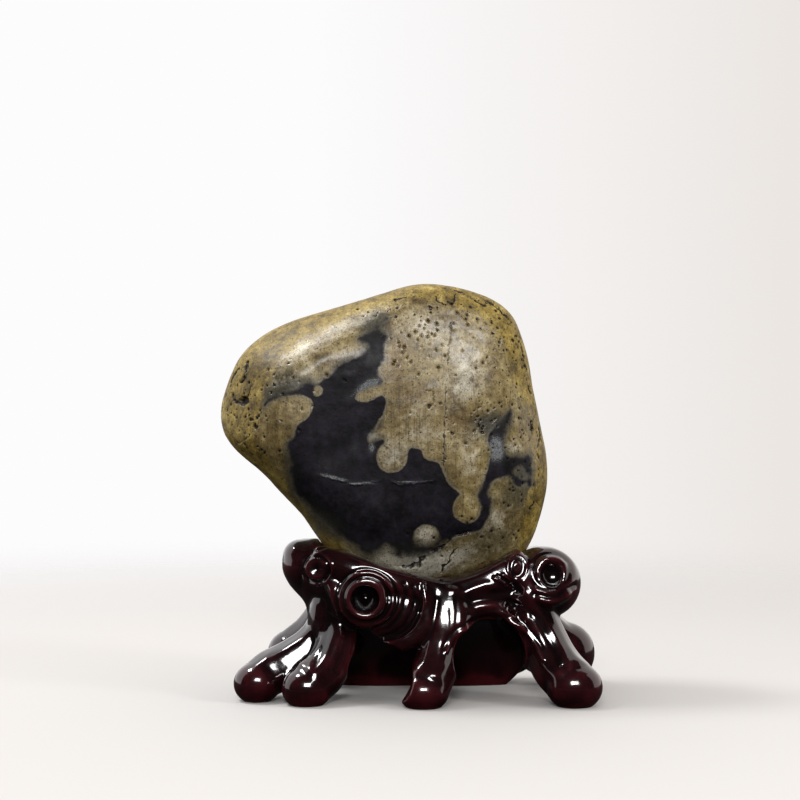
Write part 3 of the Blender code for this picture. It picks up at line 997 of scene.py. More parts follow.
    def form(self, directions: np.ndarray) -> np.ndarray:
        """The worn pebble's surface.

        Args:
            directions: Ways out from the middle, one a row.

        Returns:
            The surface's places from the middle, in millimetres.
        """
        d = directions / np.linalg.norm(directions, axis=1)[:, None]
        waist = self.radius(np.arctan2(d[:, 2], d[:, 0]))
        depth = np.where(d[:, 1] < 0, self.front_depth, self.back_depth)
        n = self.squareness
        size = (np.hypot(d[:, 0], d[:, 2]) / waist) ** n + (np.abs(d[:, 1]) / depth) ** n
        points = d * (size ** (-1 / n))[:, None]
        for facing, distance, softness in self.worn_faces:
            normal = np.array(facing) / np.linalg.norm(facing)
            beyond = np.logaddexp(0, (points @ normal - distance) / softness) * softness
            points = points - beyond[:, None] * normal
        front = np.clip(-d[:, 1], 0, 1)
        for swell in self.swells:
            points[:, 1] -= front * swell.strength(points[:, (0, 2)])
        return points

    def drawn(self, points: np.ndarray) -> np.ndarray:
        """Where points fall on the drawing: as the eye sees them in front, and flat behind."""
        return np.where(points[:, 1:2] < 0, seen_from(self.eye, points), points[:, (0, 2)])

    def grid(self) -> bpy.types.Mesh:
        """Makes a closed grid of directions, finest on the front and along its cracks and pits.

        Returns:
            The grid as a mesh.
        """
        shape = bmesh.new()
        bmesh.ops.create_cube(shape, size=2)
        bmesh.ops.subdivide_edges(shape, edges=shape.edges[:], cuts=self.cells - 1, use_grid_fill=True)
        for vertex in shape.verts:
            x, y, z = (math.tan(math.pi / 4 * c) for c in vertex.co)
            # Flattened, so that the cells crowd on the broad front and back.
            vertex.co = Vector((x, y * 0.55, z)).normalized()
        self.refine(shape, 2, lambda places: places[:, 1] < self.fine_front)
        self.refine(shape, 1, self.near_detail)
        bmesh.ops.triangulate(shape, faces=shape.faces[:])
        return as_mesh(shape, "pebble")

    def refine(
        self, shape: bmesh.types.BMesh, cuts: int, wanted: Callable[[np.ndarray], np.ndarray]
    ) -> None:
        """Cuts the faces finer where they are wanted.

        Args:
            shape: The grid of directions.
            cuts: Cuts across each edge.
            wanted: Says for places on the stone whether they are wanted.
        """
        middles = self.form(np.array([face.calc_center_median() for face in shape.faces]))
        chosen = wanted(middles)
        edges = {edge for face, yes in zip(shape.faces[:], chosen) if yes for edge in face.edges}
        bmesh.ops.subdivide_edges(shape, edges=list(edges), cuts=cuts, use_grid_fill=True)

    def near_detail(self, places: np.ndarray) -> np.ndarray:
        """Finds the places along the front's cracks and pits.

        Args:
            places: Places on the stone, one a row.

        Returns:
            Whether each lies in or just beyond a crack or pit.
        """
        at = self.drawn(places)
        near = np.zeros(len(at), bool)
        for crack in CRACKS:
            near |= line_distance(at, crack.line)[0] < crack.width * 2 + 0.5
        for pit in PITS:
            near |= np.hypot(at[:, 0] - pit.x, at[:, 1] - pit.z) < pit.radius * 1.4
        return near & (places[:, 1] < 0)

    def weathering(self, at: np.ndarray, uneven: np.ndarray) -> tuple[np.ndarray, np.ndarray]:
        """The cracks and pits of the front.

        Args:
            at: Points on the drawing, one a row.
            uneven: Noise around 0 that breaks up the cracks.

        Returns:
            The height to add, and how dark each point is painted as a hollow, for dirt and painted shade.
        """
        height = np.zeros(len(at))
        hollow = np.zeros(len(at))
        for crack in CRACKS:
            distance, side = line_distance(at, crack.line)
            width = crack.width * np.clip(0.75 + uneven, 0.3, 1.5)
            mouth = np.exp(-((distance / width) ** 2)) * eased(-1.0, -0.2, uneven)
            height -= crack.depth * mouth
            # A step dies away over 5 mm.
            height += np.where(side > 0, crack.step, 0) * np.exp(-distance / 5)
            hollow = np.maximum(hollow, crack.stain * mouth)
        for pit in PITS:
            distance = np.hypot(at[:, 0] - pit.x, at[:, 1] - pit.z) / pit.radius
            bowl = 1 - eased(0.35, 1.1, distance)
            height -= pit.depth * bowl
            hollow = np.maximum(hollow, bowl)
        return height, hollow

    def mark(self, mesh: bpy.types.Mesh, points: np.ndarray, hollow: np.ndarray) -> None:
        """Stores the markings that the material reads.

        Args:
            mesh: The pebble.
            points: Its vertices from the middle, before weathering.
            hollow: How dark each is painted as a hollow, for dirt and painted shade.
        """
        front = points[:, 1] < 0
        strays = np.where(front, *self.edge_wander)[:, None]
        at = self.drawn(points) + wander(points, self.edge_waves, 3, (3.0, 9.0)) * strays
        fields = []
        for edge, spots in ((DARK_FIELD, self.pale_spots), (BACK_FIELD, self.back_spots)):
            depth = depth_in_patch(at, edge)
            for spot in spots:
                depth = np.minimum(depth, -spot.depth_inside(at))
            fields.append(depth)
        least, more = self.back_rind
        rind = np.where(front, -depth_in_patch(at, RIND_EDGE), least + more * ripple(points, 40, 2, 5.0))
        set_attribute(mesh, "dark", np.clip(np.where(front, *fields), -8, 8))
        set_attribute(mesh, "rind", np.clip(rind, -15, 15))
        for name, clouds, behind in (
            ("light", self.lights, 0.0),
            ("grey", self.greys, 0.0),
            ("rust", self.rusts, 0.0),
            ("bloom", self.blooms, 0.0),
            ("soft", self.softs, self.back_soft),
            ("pitting", self.pitting, self.back_pitting),
        ):
            amount = sum(cloud.strength(at) for cloud in clouds)
            set_attribute(mesh, name, np.clip(np.where(front, amount, behind), -1, 1))
        set_attribute(mesh, "hollow", hollow)

    def build(self) -> bpy.types.Object:
        """Builds the marked and weathered stone, not yet centred on its footprint.

        Returns:
            The finished stone.
        """
        mesh = self.grid()
        points = self.form(read_vectors(mesh, "co"))
        place_vertices(mesh, points)
        facing = read_vectors(mesh, "normal")
        jagged = wander(points, self.crack_waves, 2, (4.0, 14.0)) * self.crack_wander
        height, hollow = self.weathering(self.drawn(points) + jagged, ripple(points, 7, 2, 6.0))
        front = points[:, 1] < 0
        height, hollow = height * front, hollow * front
        low, fine = ripple(points, self.low_waves), ripple(points, self.fine_waves, offset=2.0)
        height += self.low_ripple * low + self.fine_ripple * fine
        self.mark(mesh, points, hollow)
        place_vertices(mesh, points + facing * height[:, None] + np.array(self.middle))
        pitted = self.scatter.run(new_object("pebble_grid", mesh), self.finish.material())
        pitted.shade_smooth()
        return new_object("pebble", pitted)


@dataclass(frozen=True)
class LacquerFinish:
    """Hardwood under many coats of wine-dark lacquer, brushed and polished.

    The coats give deep, mirror-like reflections; they are thin and redder on the ridges, partly as
    painted light, and the recesses are painted near-black as shade.
    """

    # Near-black for the recesses' painted shade and the grain, and red for the ridges' painted light.
    deep: str = "0b0304"
    wine: str = "230a0e"
    red: str = "48151a"

    def material(self) -> bpy.types.Material:
        """Builds the material from how far each place stands proud.

        Returns:
            The material.
        """
        made, add, surface = new_material("wine lacquer on hardwood")
        place = add("ShaderNodeTexCoord", out="Object")
        # Uneven coats about 24 mm across, and wood grain 4 mm apart that shows faintly through.
        thick = {"Scale": per(24), "Detail": 3.0, "Distortion": 0.5}
        coats = add("ShaderNodeTexNoise", {"Vector": place, **thick})
        along = add("ShaderNodeMapping", {"Vector": place, "Scale": (per(4), per(4), per(22))})
        grain = add("ShaderNodeTexNoise", {"Vector": along, "Scale": 1.0, "Detail": 4.0, "Distortion": 0.8})
        # How proud each place stands: it paints shade into the recesses and light onto the ridges.
        ridge = add("ShaderNodeAttribute", attribute_name="ridge", out="Fac")
        tone = add("ShaderNodeMix", {0: 0.5, 2: coats, 3: ridge})
        coated = mottled(add, tone, tone, (self.deep, self.wine, self.red))
        # Slow waves in the polish, 9 mm across.
        waves = add("ShaderNodeTexNoise", {"Vector": place, "Scale": per(9), "Detail": 2.0})
        height = add("ShaderNodeMath", {0: grain, 1: 0.1, 2: waves}, operation="MULTIPLY_ADD")
        looks = {
            "Base Color": lay_over(add, coated, Layer(grain, 0.45, 0.75, 0.4, linear(self.deep))),
            "Normal": add("ShaderNodeBump", {"Strength": 0.2, "Distance": 1.0 * MM, "Height": height}),
            "Roughness": add("ShaderNodeMath", {0: coats, 1: 0.14, 2: 0.08}, operation="MULTIPLY_ADD"),
            "Coat Weight": 1.0,
            "Coat Roughness": 0.03,
            "IOR": 1.52,
        }
        feed(surface, looks)
        return made


@dataclass(frozen=True)
class CarvedRun(Recipe):
    """The section that Geometry Nodes draw along each root: a circle with shallow flutes."""

    sides: int = 40
    flutes: float = 6.0
    flute_depth: float = 0.04

    def tree(self) -> bpy.types.NodeTree:
        """Builds the group: a fluted ring swept along the curves at their own radius.

        Returns:
            The node group.
        """
        add, given, group = self.start("fluted roots")
        circle = add("GeometryNodeCurvePrimitiveCircle", {"Resolution": given["Sides"], "Radius": MM})
        share = add("GeometryNodeSplineParameter")
        turn = add("ShaderNodeMath", {0: share, 1: math.tau}, operation="MULTIPLY")
        phase = add("ShaderNodeMath", {0: turn, 1: given["Flutes"]}, operation="MULTIPLY")
        wave = add("ShaderNodeMath", {0: phase}, operation="COSINE")
        depth = add("ShaderNodeMath", {0: wave, 1: given["Flute Depth"]}, operation="MULTIPLY")
        here = add("GeometryNodeInputPosition")
        offset = add("ShaderNodeVectorMath", {0: here, "Scale": depth}, operation="SCALE")
        section = add("GeometryNodeSetPosition", {"Geometry": circle, "Offset": offset})
        swept = {"Curve": given["Geometry"], "Profile Curve": section, "Fill Caps": True}
        roots = add("GeometryNodeCurveToMesh", {**swept, "Scale": add("GeometryNodeInputRadius")})
        self.close(add, roots, given)
        return group


@dataclass(frozen=True)
class Facet:
    """A place scraped nearly flat.

    Its middle, half width and half height are on the drawing. Then come its middle's y, how much y
    grows with height, and the radius that it bows with.
    """

    x: float
    z: float
    across: float
    up: float
    y: float
    lean: float
    bow: float = 60.0

    def scrape(self, points: np.ndarray, at: np.ndarray) -> np.ndarray:
        """How far along y each point moves.

        Args:
            points: The wood's points.
            at: The same points on the drawing.

        Returns:
            One distance a point, fading to nothing at the facet's edge.
        """
        dx, dz = at[:, 0] - self.x, at[:, 1] - self.z
        share = np.exp(-((dx / self.across) ** 4) - (dz / self.up) ** 4)
        flat = self.y + self.lean * dz + (dx**2 + dz**2) / (2 * self.bow)
        return share * (flat - points[:, 1])


@dataclass
class CarvedStand:
    """The stand: one block of wood carved as roots, folds and burls, with a seat for the stone.

    Roots and folds are runs of places with a radius. Balls and hollows are a middle and three
    radii. Rings are a middle, the way they face, their radius and thickness. Arches are a circle's
    middle, its radius, the way through and the length. The cutting voxel is the grain of the rough
    wood that the hollows are cut from, and the voxel that of the finished wood.
    """

    roots: tuple[tuple[Knot, ...], ...] = (
        ((-74, -14, 90, 17), (-46, -30, 82, 17), (-10, -33, 75, 16), (22, -32, 72, 16), (58, -30, 77, 16),
            (90, -14, 88, 18)),
        ((-74, 14, 90, 17), (-44, 28, 82, 17), (-10, 32, 76, 16), (24, 32, 74, 16), (58, 30, 80, 16), (92,
            14, 88, 18)),
        ((-79, -8, 94, 18), (-69, -14, 74, 13), (-67, -17, 58, 12.5), (-72, -20, 43, 15), (-88, -24, 29,
            16.5), (-106, -30, 20, 17), (-116, -36, 15, 15)),
        ((-56, -30, 78, 12), (-54, -30, 58, 12.5), (-57, -38, 38, 15), (-66, -46, 22, 17), (-76, -53, 15,
            17)),
        ((27, -36, 80, 17), (25, -44, 62, 16), (20, -48, 43, 14.5), (16, -54, 26, 17), (11, -62, 15, 17)),
        ((88, -34, 82, 18), (93, -36, 62, 16), (99, -38, 44, 17.5), (108, -47, 26, 19), (117, -57, 17,
            19)),
        ((88, 20, 86, 19), (92, 28, 60, 16), (108, 34, 38, 19), (122, 37, 25, 22)),
        ((80, 34, 78, 15), (78, 40, 54, 15), (80, 46, 32, 15), (86, 58, 14, 14)),
        ((50, 36, 78, 16), (50, 42, 54, 15), (48, 48, 30, 16), (46, 60, 14, 14)),
        ((-8, 36, 78, 16), (-8, 42, 54, 15), (-4, 50, 30, 15), (2, 62, 14, 14)),
        ((-44, 34, 80, 17), (-42, 38, 54, 15), (-44, 46, 30, 16), (-50, 60, 14, 14)),
        ((-68, 20, 90, 19), (-66, 28, 64, 15), (-76, 34, 44, 15.5), (-94, 38, 26, 17)),
    )
    folds: tuple[tuple[Knot, ...], ...] = (
        ((-2, -44, 90, 5), (9, -49, 80, 6), (12, -52, 67, 6), (6, -53, 54, 6), (-7, -52, 45, 6), (-22,
            -49, 43, 5)),
        ((-62, -40, 93, 6), (-56, -46, 81, 6.5), (-53, -47, 67, 4.5)),
        ((82, -42, 90, 5.5), (90, -47, 82, 6), (102, -48, 78, 6.5), (116, -42, 83, 5.5)),
        ((33, -49, 54, 3), (43, -47, 64, 3.2), (57, -46, 68, 3.4), (71, -47, 64, 3.4), (82, -49, 54, 3)),
        ((-72, -33, 107, 10), (-52, -43, 102, 10.5), (-32, -47, 94.5, 10.5), (-10, -46, 88, 10.5), (8,
            -42, 83, 11), (26, -39, 80.5, 11.5), (46, -37, 84.5, 12), (66, -36, 94, 11.5), (84, -31, 106,
            10)),
        ((-62, 42, 96, 7), (-40, 50, 76, 8), (-50, 55, 52, 8), (-30, 62, 28, 9), (-22, 66, 13, 11)),
        ((30, 46, 90, 6), (12, 52, 70, 7.5), (20, 56, 48, 8), (24, 62, 28, 9), (14, 66, 13, 11)),
        ((98, 34, 88, 7), (84, 46, 70, 8), (66, 50, 56, 7), (52, 52, 40, 6)),
        ((-88, 30, 92, 7), (-78, 42, 72, 8), (-70, 46, 52, 8), (-78, 50, 32, 9), (-90, 46, 18, 10)),
    )
    lip: tuple[Knot, ...] = (
        (-82, 0, 104, 13), (-66, -22, 99, 13), (-46, -33, 92, 12), (-10, -37, 82, 11), (14, -36, 79, 11),
        (40, -35, 84, 11), (68, -32, 92, 12), (88, -20, 97, 13), (98, 0, 99, 14), (88, 20, 97, 13),
        (66, 32, 94, 12), (40, 37, 86, 11), (12, 38, 82, 11), (-18, 37, 86, 11), (-48, 33, 94, 12),
        (-66, 22, 99, 13),
    )
    balls: tuple[tuple[Place, Place], ...] = (
        ((8, 0, 82), (84, 36, 20)), ((6, 36, 40), (92, 13, 62)), ((-80, -9, 99), (19.5, 21, 20)),
        ((-86, -8, 106), (13, 18, 12.5)), ((-76, -9, 107), (14, 18, 12.5)),
        ((-60, -25, 56), (19, 15, 34)), ((23, -38, 56), (24, 22, 27)), ((46, -33, 73), (32, 17, 17)),
        ((92, -34, 52), (17, 18, 32)), ((-82, 14, 100), (19, 22, 17.5)), ((100, 14, 91), (20, 26, 20)),
        ((-35, -40, 77), (24, 20, 23)), ((-12, -40, 68), (24, 17, 25)), ((-70, -34, 99), (11, 12, 11)),
        ((99, -24, 87), (28.5, 26, 27.5)), ((77, -40, 98), (7.5, 7, 11)), ((64, 42, 84), (20, 18, 20)),
        ((-34, 40, 90), (17, 14, 16)), ((-6, 46, 62), (20, 14, 20)), ((-64, 46, 66), (13, 11, 13)),
        ((119, -59, 14), (21, 19, 18)), ((8, -64, 11), (19, 17, 15)), ((-78, -54, 12), (19, 17, 16)),
        ((-116, -37, 13), (18, 17, 16)), ((122, 37, 25), (23, 22, 24)), ((-96, 37, 25), (18, 18, 18)),
    )
    rings: tuple[tuple[Place, Place, float, float], ...] = (
        ((-35, -57, 78), (0.0, -1.0, 0.0), 13.2, 2.8), ((-72, -43, 99), (-0.2, -1.0, 0.1), 6.5, 2.4),
        ((104, -44, 96), (0.2, -1.0, 0.1), 11.5, 2.2), ((64, 56, 84), (0.1, 1.0, 0.0), 12, 3.2),
        ((-6, 57, 62), (0.0, 1.0, 0.1), 11, 3.2),
    )
    hollows: tuple[tuple[Place, Place], ...] = (
        ((-35, -62, 78), (10.6, 28, 10.6)), ((104, -50, 96), (10, 9, 10)), ((64, 60, 84), (9, 10, 9)),
        ((-6, 61, 62), (8, 12, 8)), ((6, -4, 0), (88, 33, 58)),
    )
    arches: tuple[tuple[Place, float, Way, float], ...] = (
        ((57, -60, 35), 27, Way.THROUGH, 120), ((-24, -60, 22), 24, Way.THROUGH, 120),
        ((-90, 8, 18), 17, Way.SIDEWAYS, 100), ((100, -12, 24), 18, Way.SIDEWAYS, 100),
    )
    gouges: tuple[Gouge, ...] = each(
        Gouge,
        # The streak along the seat's left edge, then the left leg.
        (((-66.2, 111.7), (-73.9, 108.6), (-82.4, 102.8), (-85.5, 97), (-85.5, 87.8)), 1.755, -0.96),
        (((-65.9, 109.7), (-72.4, 107), (-79.3, 101.6), (-82.8, 95.5), (-82.4, 86.2)), 1.62, 0.8),
        (((-81.6, 87), (-76.2, 77), (-72.4, 66.2), (-73.2, 53.9), (-77, 40), (-80.1, 27.7),
            (-83.9, 15.4)), 2.43, -0.352),
        (((-83.9, 83.9), (-79.3, 73.2), (-77, 63.1), (-79.3, 52.4), (-86.2, 44.7), (-97.8, 37.7),
            (-109.3, 27.7)), 2.16, -0.352),
        # The folds round the hollow burl.
        (((-6.2, 83.2), (-4.6, 73.2), (-6.9, 63.1), (-12.3, 54.7), (-19.2, 48.5), (-26.2, 47)), 1.755,
            -0.96),
        (((0.8, 81.6), (2.3, 70.8), (-0.8, 60.1), (-6.9, 50.8), (-15.4, 44.7), (-24.6, 42.4)), 1.62,
            -0.84),
        (((5.4, 82.4), (6.9, 70.8), (4.6, 60.1), (-1.5, 49.3), (-10.8, 42.4), (-21.6, 40)), 1.35, -0.768),
        (((8.9, 83.2), (10.4, 70.8), (8.5, 60.1), (3.1, 49.3), (-6.2, 40.8), (-17.7, 37.7)), 1.62, 0.96),
        # The column.
        (((26.9, 63.1), (27.5, 53.9), (26.9, 41.6), (23.9, 30.8), (20, 18.5)), 2.16, -0.44),
        (((33.9, 72.4), (35, 61.6), (33.9, 49.3), (30, 36.2), (26.9, 23.1)), 1.755, -0.36),
        (((19.2, 70.8), (17.7, 59.3), (15.4, 47.7), (10.8, 38.5), (6.2, 24.6)), 2.16, -0.768),
        # The rim and band over the arch.
        (((26.2, 30.8), (30.8, 40), (36.2, 45.7), (47, 52.1), (62.4, 55.7), (75.2, 53.9), (84.3, 50.3),
            (90.6, 43.1), (97, 33.9), (101.6, 24.6)), 1.35, 1.04),
        (((23.9, 33.9), (29.3, 43.9), (36.2, 49.7), (47, 55.8), (62.4, 59.3), (76.2, 57.4), (86.2, 53.1),
            (93.2, 45.4), (100.1, 34.6)), 1.62, -0.672),
        (((46.2, 62.4), (51.6, 65.1), (62.4, 66.6), (74.3, 63.1), (87.8, 55.7)), 2.43, 1.12),
        (((43.1, 68.5), (50.8, 70.8), (60.1, 72), (70.1, 71.2), (83.2, 66.6), (92.4, 59.3)), 2.43,
            -1.088),
        # The gouged ridges right of the seat.
        (((40, 75.5), (47, 79.3), (57, 82.5), (67.8, 80.2), (77, 79.3)), 3.24, 1.12),
        (((63.4, 87.9), (70.1, 84.7), (77, 80.7)), 1.35, 1.28),
        (((69.8, 90.2), (73.2, 87.8), (76.2, 84.7)), 1.215, 1.28),
        (((66.2, 89.7), (71.6, 86.2), (77, 82.8)), 1.215, -1.04),
        # The crescents under and over the right burl.
        (((95.5, 78.2), (104, 77), (110.6, 77.9), (117, 81.6), (123.2, 84.7)), 1.89, 1.2),
        (((94.7, 75.5), (104, 73.2), (111.7, 74.3), (118.6, 78.2), (124, 82.4)), 2.43, -1.216),
        (((97, 72.4), (105.5, 69.3), (112.4, 70.2), (119.7, 73.5), (124.7, 78.5)), 2.025, 0.728),
        (((92.4, 99.3), (97, 102), (102.4, 102.8), (110.9, 102), (119.4, 98.9)), 1.35, 0.352),
        # The right leg.
        (((82.4, 77), (87, 69.3), (93.9, 58.5), (100.9, 47.7), (107.8, 35.4), (114, 21.6)), 2.025,
            -0.664),
        (((87, 78.5), (93.2, 68.5), (100.9, 57.8), (108.6, 46.2), (115.5, 33.1), (121.7, 18.5)), 1.89,
            0.44),
        (((90.9, 80.1), (98.6, 67.8), (106.3, 57), (114, 44.7), (120.1, 32.3), (127, 18.5)), 2.025, -0.4),
        # The left inner root.
        (((-63.9, 61.6), (-65.5, 47.7), (-69.3, 32.3), (-75.5, 18.5)), 2.43, -0.624),
        (((-51.6, 55.4), (-50.8, 43.1), (-53.9, 30.8), (-60.1, 16.9)), 2.43, -0.624),
    )
    burls: tuple[Burl, ...] = each(
        Burl,
        (-35, 71.5, ((17.5, 1.4, -1.4), (20.3, 1.3, 0.9), (23.2, 1.2, -1.2))),
        (-73.6, 94.7, ((0, 3.5, -2.2), (9.6, 1.2, -1.3), (12.2, 1.2, 0.8))),
        (81, 95.9, ((0, 3, -1.0), (4.6, 1.3, -1.0), (7.2, 1.2, 0.9)), 1.35),
        (107, 92.4, ((14, 1.6, -0.8), (18, 2.0, 0.4))),
    )
    back_gouges: tuple[Gouge, ...] = each(
        Gouge,
        (((84, 74), (80, 54), (82, 34), (88, 14)), 1.8, -1.3),
        (((76, 70), (73, 52), (74, 34), (78, 12)), 1.6, 1.0),
        (((52, 66), (46, 50), (48, 32), (44, 10)), 1.8, -1.4),
        (((36, 74), (34, 56), (40, 40), (36, 14)), 1.6, 1.0),
        (((16, 42), (10, 32), (6, 20), (4, 8)), 1.8, -1.3), (((-16, 40), (-14, 28), (-8, 14)), 1.6, -1.1),
        (((-42, 66), (-44, 50), (-40, 34), (-46, 12)), 1.8, -1.4),
        (((-52, 62), (-56, 46), (-54, 30), (-60, 12)), 1.6, 1.0),
        (((-84, 70), (-82, 52), (-92, 36), (-102, 20)), 1.8, -1.3),
        (((100, 70), (102, 52), (110, 36), (118, 22)), 1.8, -1.3),
    )
    back_burls: tuple[Burl, ...] = each(
        Burl,
        (64, 84, ((17, 1.4, -1.4), (20, 1.4, 0.9))),
        (-6, 62, ((16, 1.4, -1.4), (19, 1.4, 0.9), (22.5, 1.4, -1.0), (26, 1.4, 0.8))),
        (-64, 66, ((0, 3.5, -2.0), (6, 1.3, 1.0), (9, 1.3, -1.2), (12, 1.3, 0.8))),
        (-34, 92, ((5, 1.4, -1.0), (9, 1.4, 0.8), (12.5, 1.4, -0.9))),
    )
    facets: tuple[Facet, ...] = (Facet(31, 57, 15, 15, -58.5, 0.3),)
    eye: Place = EYE
    cutting_voxel: float = 1.6
    voxel: float = 1.0
    melting: int = 8
    softening: int = 10
    kept_share: float = 0.45
    seat_gap: float = 0.4
    seat_reach: float = 160.0
    ridge_spread: int = 12
    flat_ridge: float = 0.4
    proud_ridge: float = 0.35
    run: CarvedRun = field(default_factory=CarvedRun)
    finish: LacquerFinish = field(default_factory=LacquerFinish)

    def swept_roots(self, finish: bpy.types.Material) -> bpy.types.Mesh:
        """The roots, folds and lip as tubes.

        Args:
            finish: Their material.

        Returns:
            One mesh of closed tubes that pass through each other.
        """
        curve = bpy.data.curves.new("roots", "CURVE")
        curve.dimensions = "3D"
        for line in (*self.roots, *self.folds, self.lip):
            spline = curve.splines.new("BEZIER")
            spline.bezier_points.add(len(line) - 1)
            spline.resolution_u = 8
            spline.use_cyclic_u = line is self.lip
            for knot, (x, y, z, radius) in zip(spline.bezier_points, line):
                knot.co = Vector((x, y, z)) * MM
                knot.radius = radius
                knot.handle_left_type = knot.handle_right_type = "AUTO"
        return self.run.run(new_object("roots", curve), finish)

    def ring(self, middle: Place, facing: Place, radius: float, thickness: float) -> bpy.types.Mesh:
        """A carved ring.

        Args:
            middle: Its middle.
            facing: The way it faces.
            radius: Its radius to the wood's middle.
            thickness: The wood's own radius.

        Returns:
            A torus.
        """
        sizes = {"major_radius": radius * MM, "minor_radius": thickness * MM}
        bpy.ops.mesh.primitive_torus_add(major_segments=64, minor_segments=20, **sizes)
        torus = bpy.context.object
        mesh = torus.data
        mesh.transform(self.turned(middle, facing))
        bpy.data.objects.remove(torus)
        return mesh

    def turned(self, middle: Place, facing: Place) -> Matrix:
        """The matrix that sets an upright form at its middle, facing some way."""
        turn = Vector(facing).to_track_quat("Z", "Y").to_matrix().to_4x4()
        return Matrix.Translation(Vector(middle) * MM) @ turn

    def rough(self, finish: bpy.types.Material) -> bpy.types.Mesh:
        """Puts all of the stand's wood into one mesh, still passing through itself.

        Args:
            finish: The wood's material.

        Returns:
            The mesh.
        """
        shape = bmesh.new()
        self.add_balls(shape, self.balls)
        for mesh in (self.swept_roots(finish), *(self.ring(*ring) for ring in self.rings)):
            shape.from_mesh(mesh)
            bpy.data.meshes.remove(mesh)
        bmesh.ops.remove_doubles(shape, verts=shape.verts[:], dist=0.001 * MM)
        return as_mesh(shape, "rough_carving")

    def add_balls(self, shape: bmesh.types.BMesh, balls: Sequence[tuple[Place, Place]]) -> None:
        """Adds balls to a shape.

        Args:
            shape: The shape.
            balls: Their middles and radii.
        """
        for middle, radii in balls:
            place = Matrix.Translation(Vector(middle) * MM) @ Matrix.Diagonal((*[r * MM for r in radii], 1))
            bmesh.ops.create_uvsphere(shape, u_segments=48, v_segments=32, radius=1, matrix=place)

    def cutter(self) -> bpy.types.Mesh:
        """Makes the burls' hollows and the arches between the roots.

        Returns:
            One mesh that passes through itself.
        """
        shape = bmesh.new()
        self.add_balls(shape, self.hollows)
        for middle, radius, way, length in self.arches:
            sizes = {"radius1": radius * MM, "radius2": radius * MM, "depth": length * MM}
            place = self.turned(middle, way.value)
            bmesh.ops.create_cone(shape, cap_ends=True, segments=64, matrix=place, **sizes)
        return as_mesh(shape, "hollows")

    def joined(self, finish: bpy.types.Material) -> bpy.types.Mesh:
        """Makes the wood one skin, with its hollows and arches cut.

        Args:
            finish: The wood's material.

        Returns:
            The smooth wood, before its lines are carved.
        """
        carving = new_object("rough_carving", self.rough(finish))
        hollows = new_object("hollows", self.cutter())
        for made in (carving, hollows):
            modify(made, "one skin", "REMESH", mode="VOXEL", voxel_size=self.cutting_voxel * MM)
        modify(carving, "melt", "SMOOTH", iterations=self.melting)
        modify(carving, "hollows", "BOOLEAN", operation="DIFFERENCE", solver="EXACT", object=hollows)
        modify(carving, "fine skin", "REMESH", mode="VOXEL", voxel_size=self.voxel * MM)
        modify(carving, "soften", "SMOOTH", iterations=self.softening)
        mesh = settled(carving)
        bpy.data.objects.remove(hollows)
        return mesh

    def carve(self, mesh: bpy.types.Mesh) -> None:
        """Presses the facets, the carver's lines and the growth rings into the wood.

        Each fades out where the wood turns away from its face and towards the stand's middle.

        Args:
            mesh: The wood.
        """
        points = read_vectors(mesh, "co") / MM
        facing = read_vectors(mesh, "normal")
        seen = seen_from(self.eye, points)
        height = np.zeros(len(points))
        front = eased(0.05, 0.35, -facing[:, 1]) * eased(22, 32, -points[:, 1])
        for facet in self.facets:
            points[:, 1] += front * facet.scrape(points, seen)
        for face, at, gouges, burls in (
            (Face.FRONT, seen, self.gouges, self.burls),
            (Face.BACK, points[:, (0, 2)], self.back_gouges, self.back_burls),
        ):
            turned, out = face.value * facing[:, 1], face.value * points[:, 1]
            height += eased(0.05, 0.35, turned) * eased(12, 22, out) * self.relief(at, gouges, burls)
        place_vertices(mesh, points + facing * height[:, None])

    def relief(self, at: np.ndarray, gouges: Sequence[Gouge], burls: Sequence[Burl]) -> np.ndarray:
        """The height of carved lines and rings.

        Args:
            at: Points on the drawing, one a row.
            gouges: The lines.
            burls: The rings.

        Returns:
            One height a point.
        """
        height = np.zeros(len(at))
        for gouge in gouges:
            distance, _ = line_distance(at, gouge.line)
            height += gouge.height * np.exp(-((distance / gouge.width) ** 2))
        for burl in burls:
            away = np.hypot(at[:, 0] - burl.x, (at[:, 1] - burl.z) / burl.tall)
            for radius, width, lift in burl.rings:
                height += lift * np.exp(-(((away - radius) / width) ** 2))
        return height

    def seat(self, mesh: bpy.types.Mesh, pebble: bpy.types.Mesh, middle: Place) -> None:
        """Fits the wood to the stone, leaving the seat's gap.

        Args:
            mesh: The wood.
            pebble: The stone.
            middle: The stone's middle.
        """
        shape = bmesh.new()
        shape.from_mesh(pebble)
        tree = BVHTree.FromBMesh(shape)
        shape.free()
        start = Vector(middle) * MM
        for vertex in mesh.vertices:
            way = vertex.co - start
            hit = tree.ray_cast(start, way)[0] if way.length < self.seat_reach * MM else None
            if hit is not None:
                reach = (hit - start).length + self.seat_gap * MM
                if way.length < reach:
                    vertex.co = start + way.normalized() * reach

    def flatten_feet(self, mesh: bpy.types.Mesh) -> None:
        """Cuts the toes flat on the floor and closes them.

        Args:
            mesh: The wood.
        """
        shape = bmesh.new()
        shape.from_mesh(mesh)
        wood = shape.verts[:] + shape.edges[:] + shape.faces[:]
        floor = {"plane_co": (0, 0, 0), "plane_no": (0, 0, 1), "dist": 1e-6}
        cut = bmesh.ops.bisect_plane(shape, geom=wood, clear_inner=True, **floor)
        rim = [item for item in cut["geom_cut"] if isinstance(item, bmesh.types.BMEdge)]
        bmesh.ops.holes_fill(shape, edges=rim)
        bmesh.ops.triangulate(shape, faces=[face for face in shape.faces if len(face.verts) > 4])
        shape.to_mesh(mesh)
        shape.free()

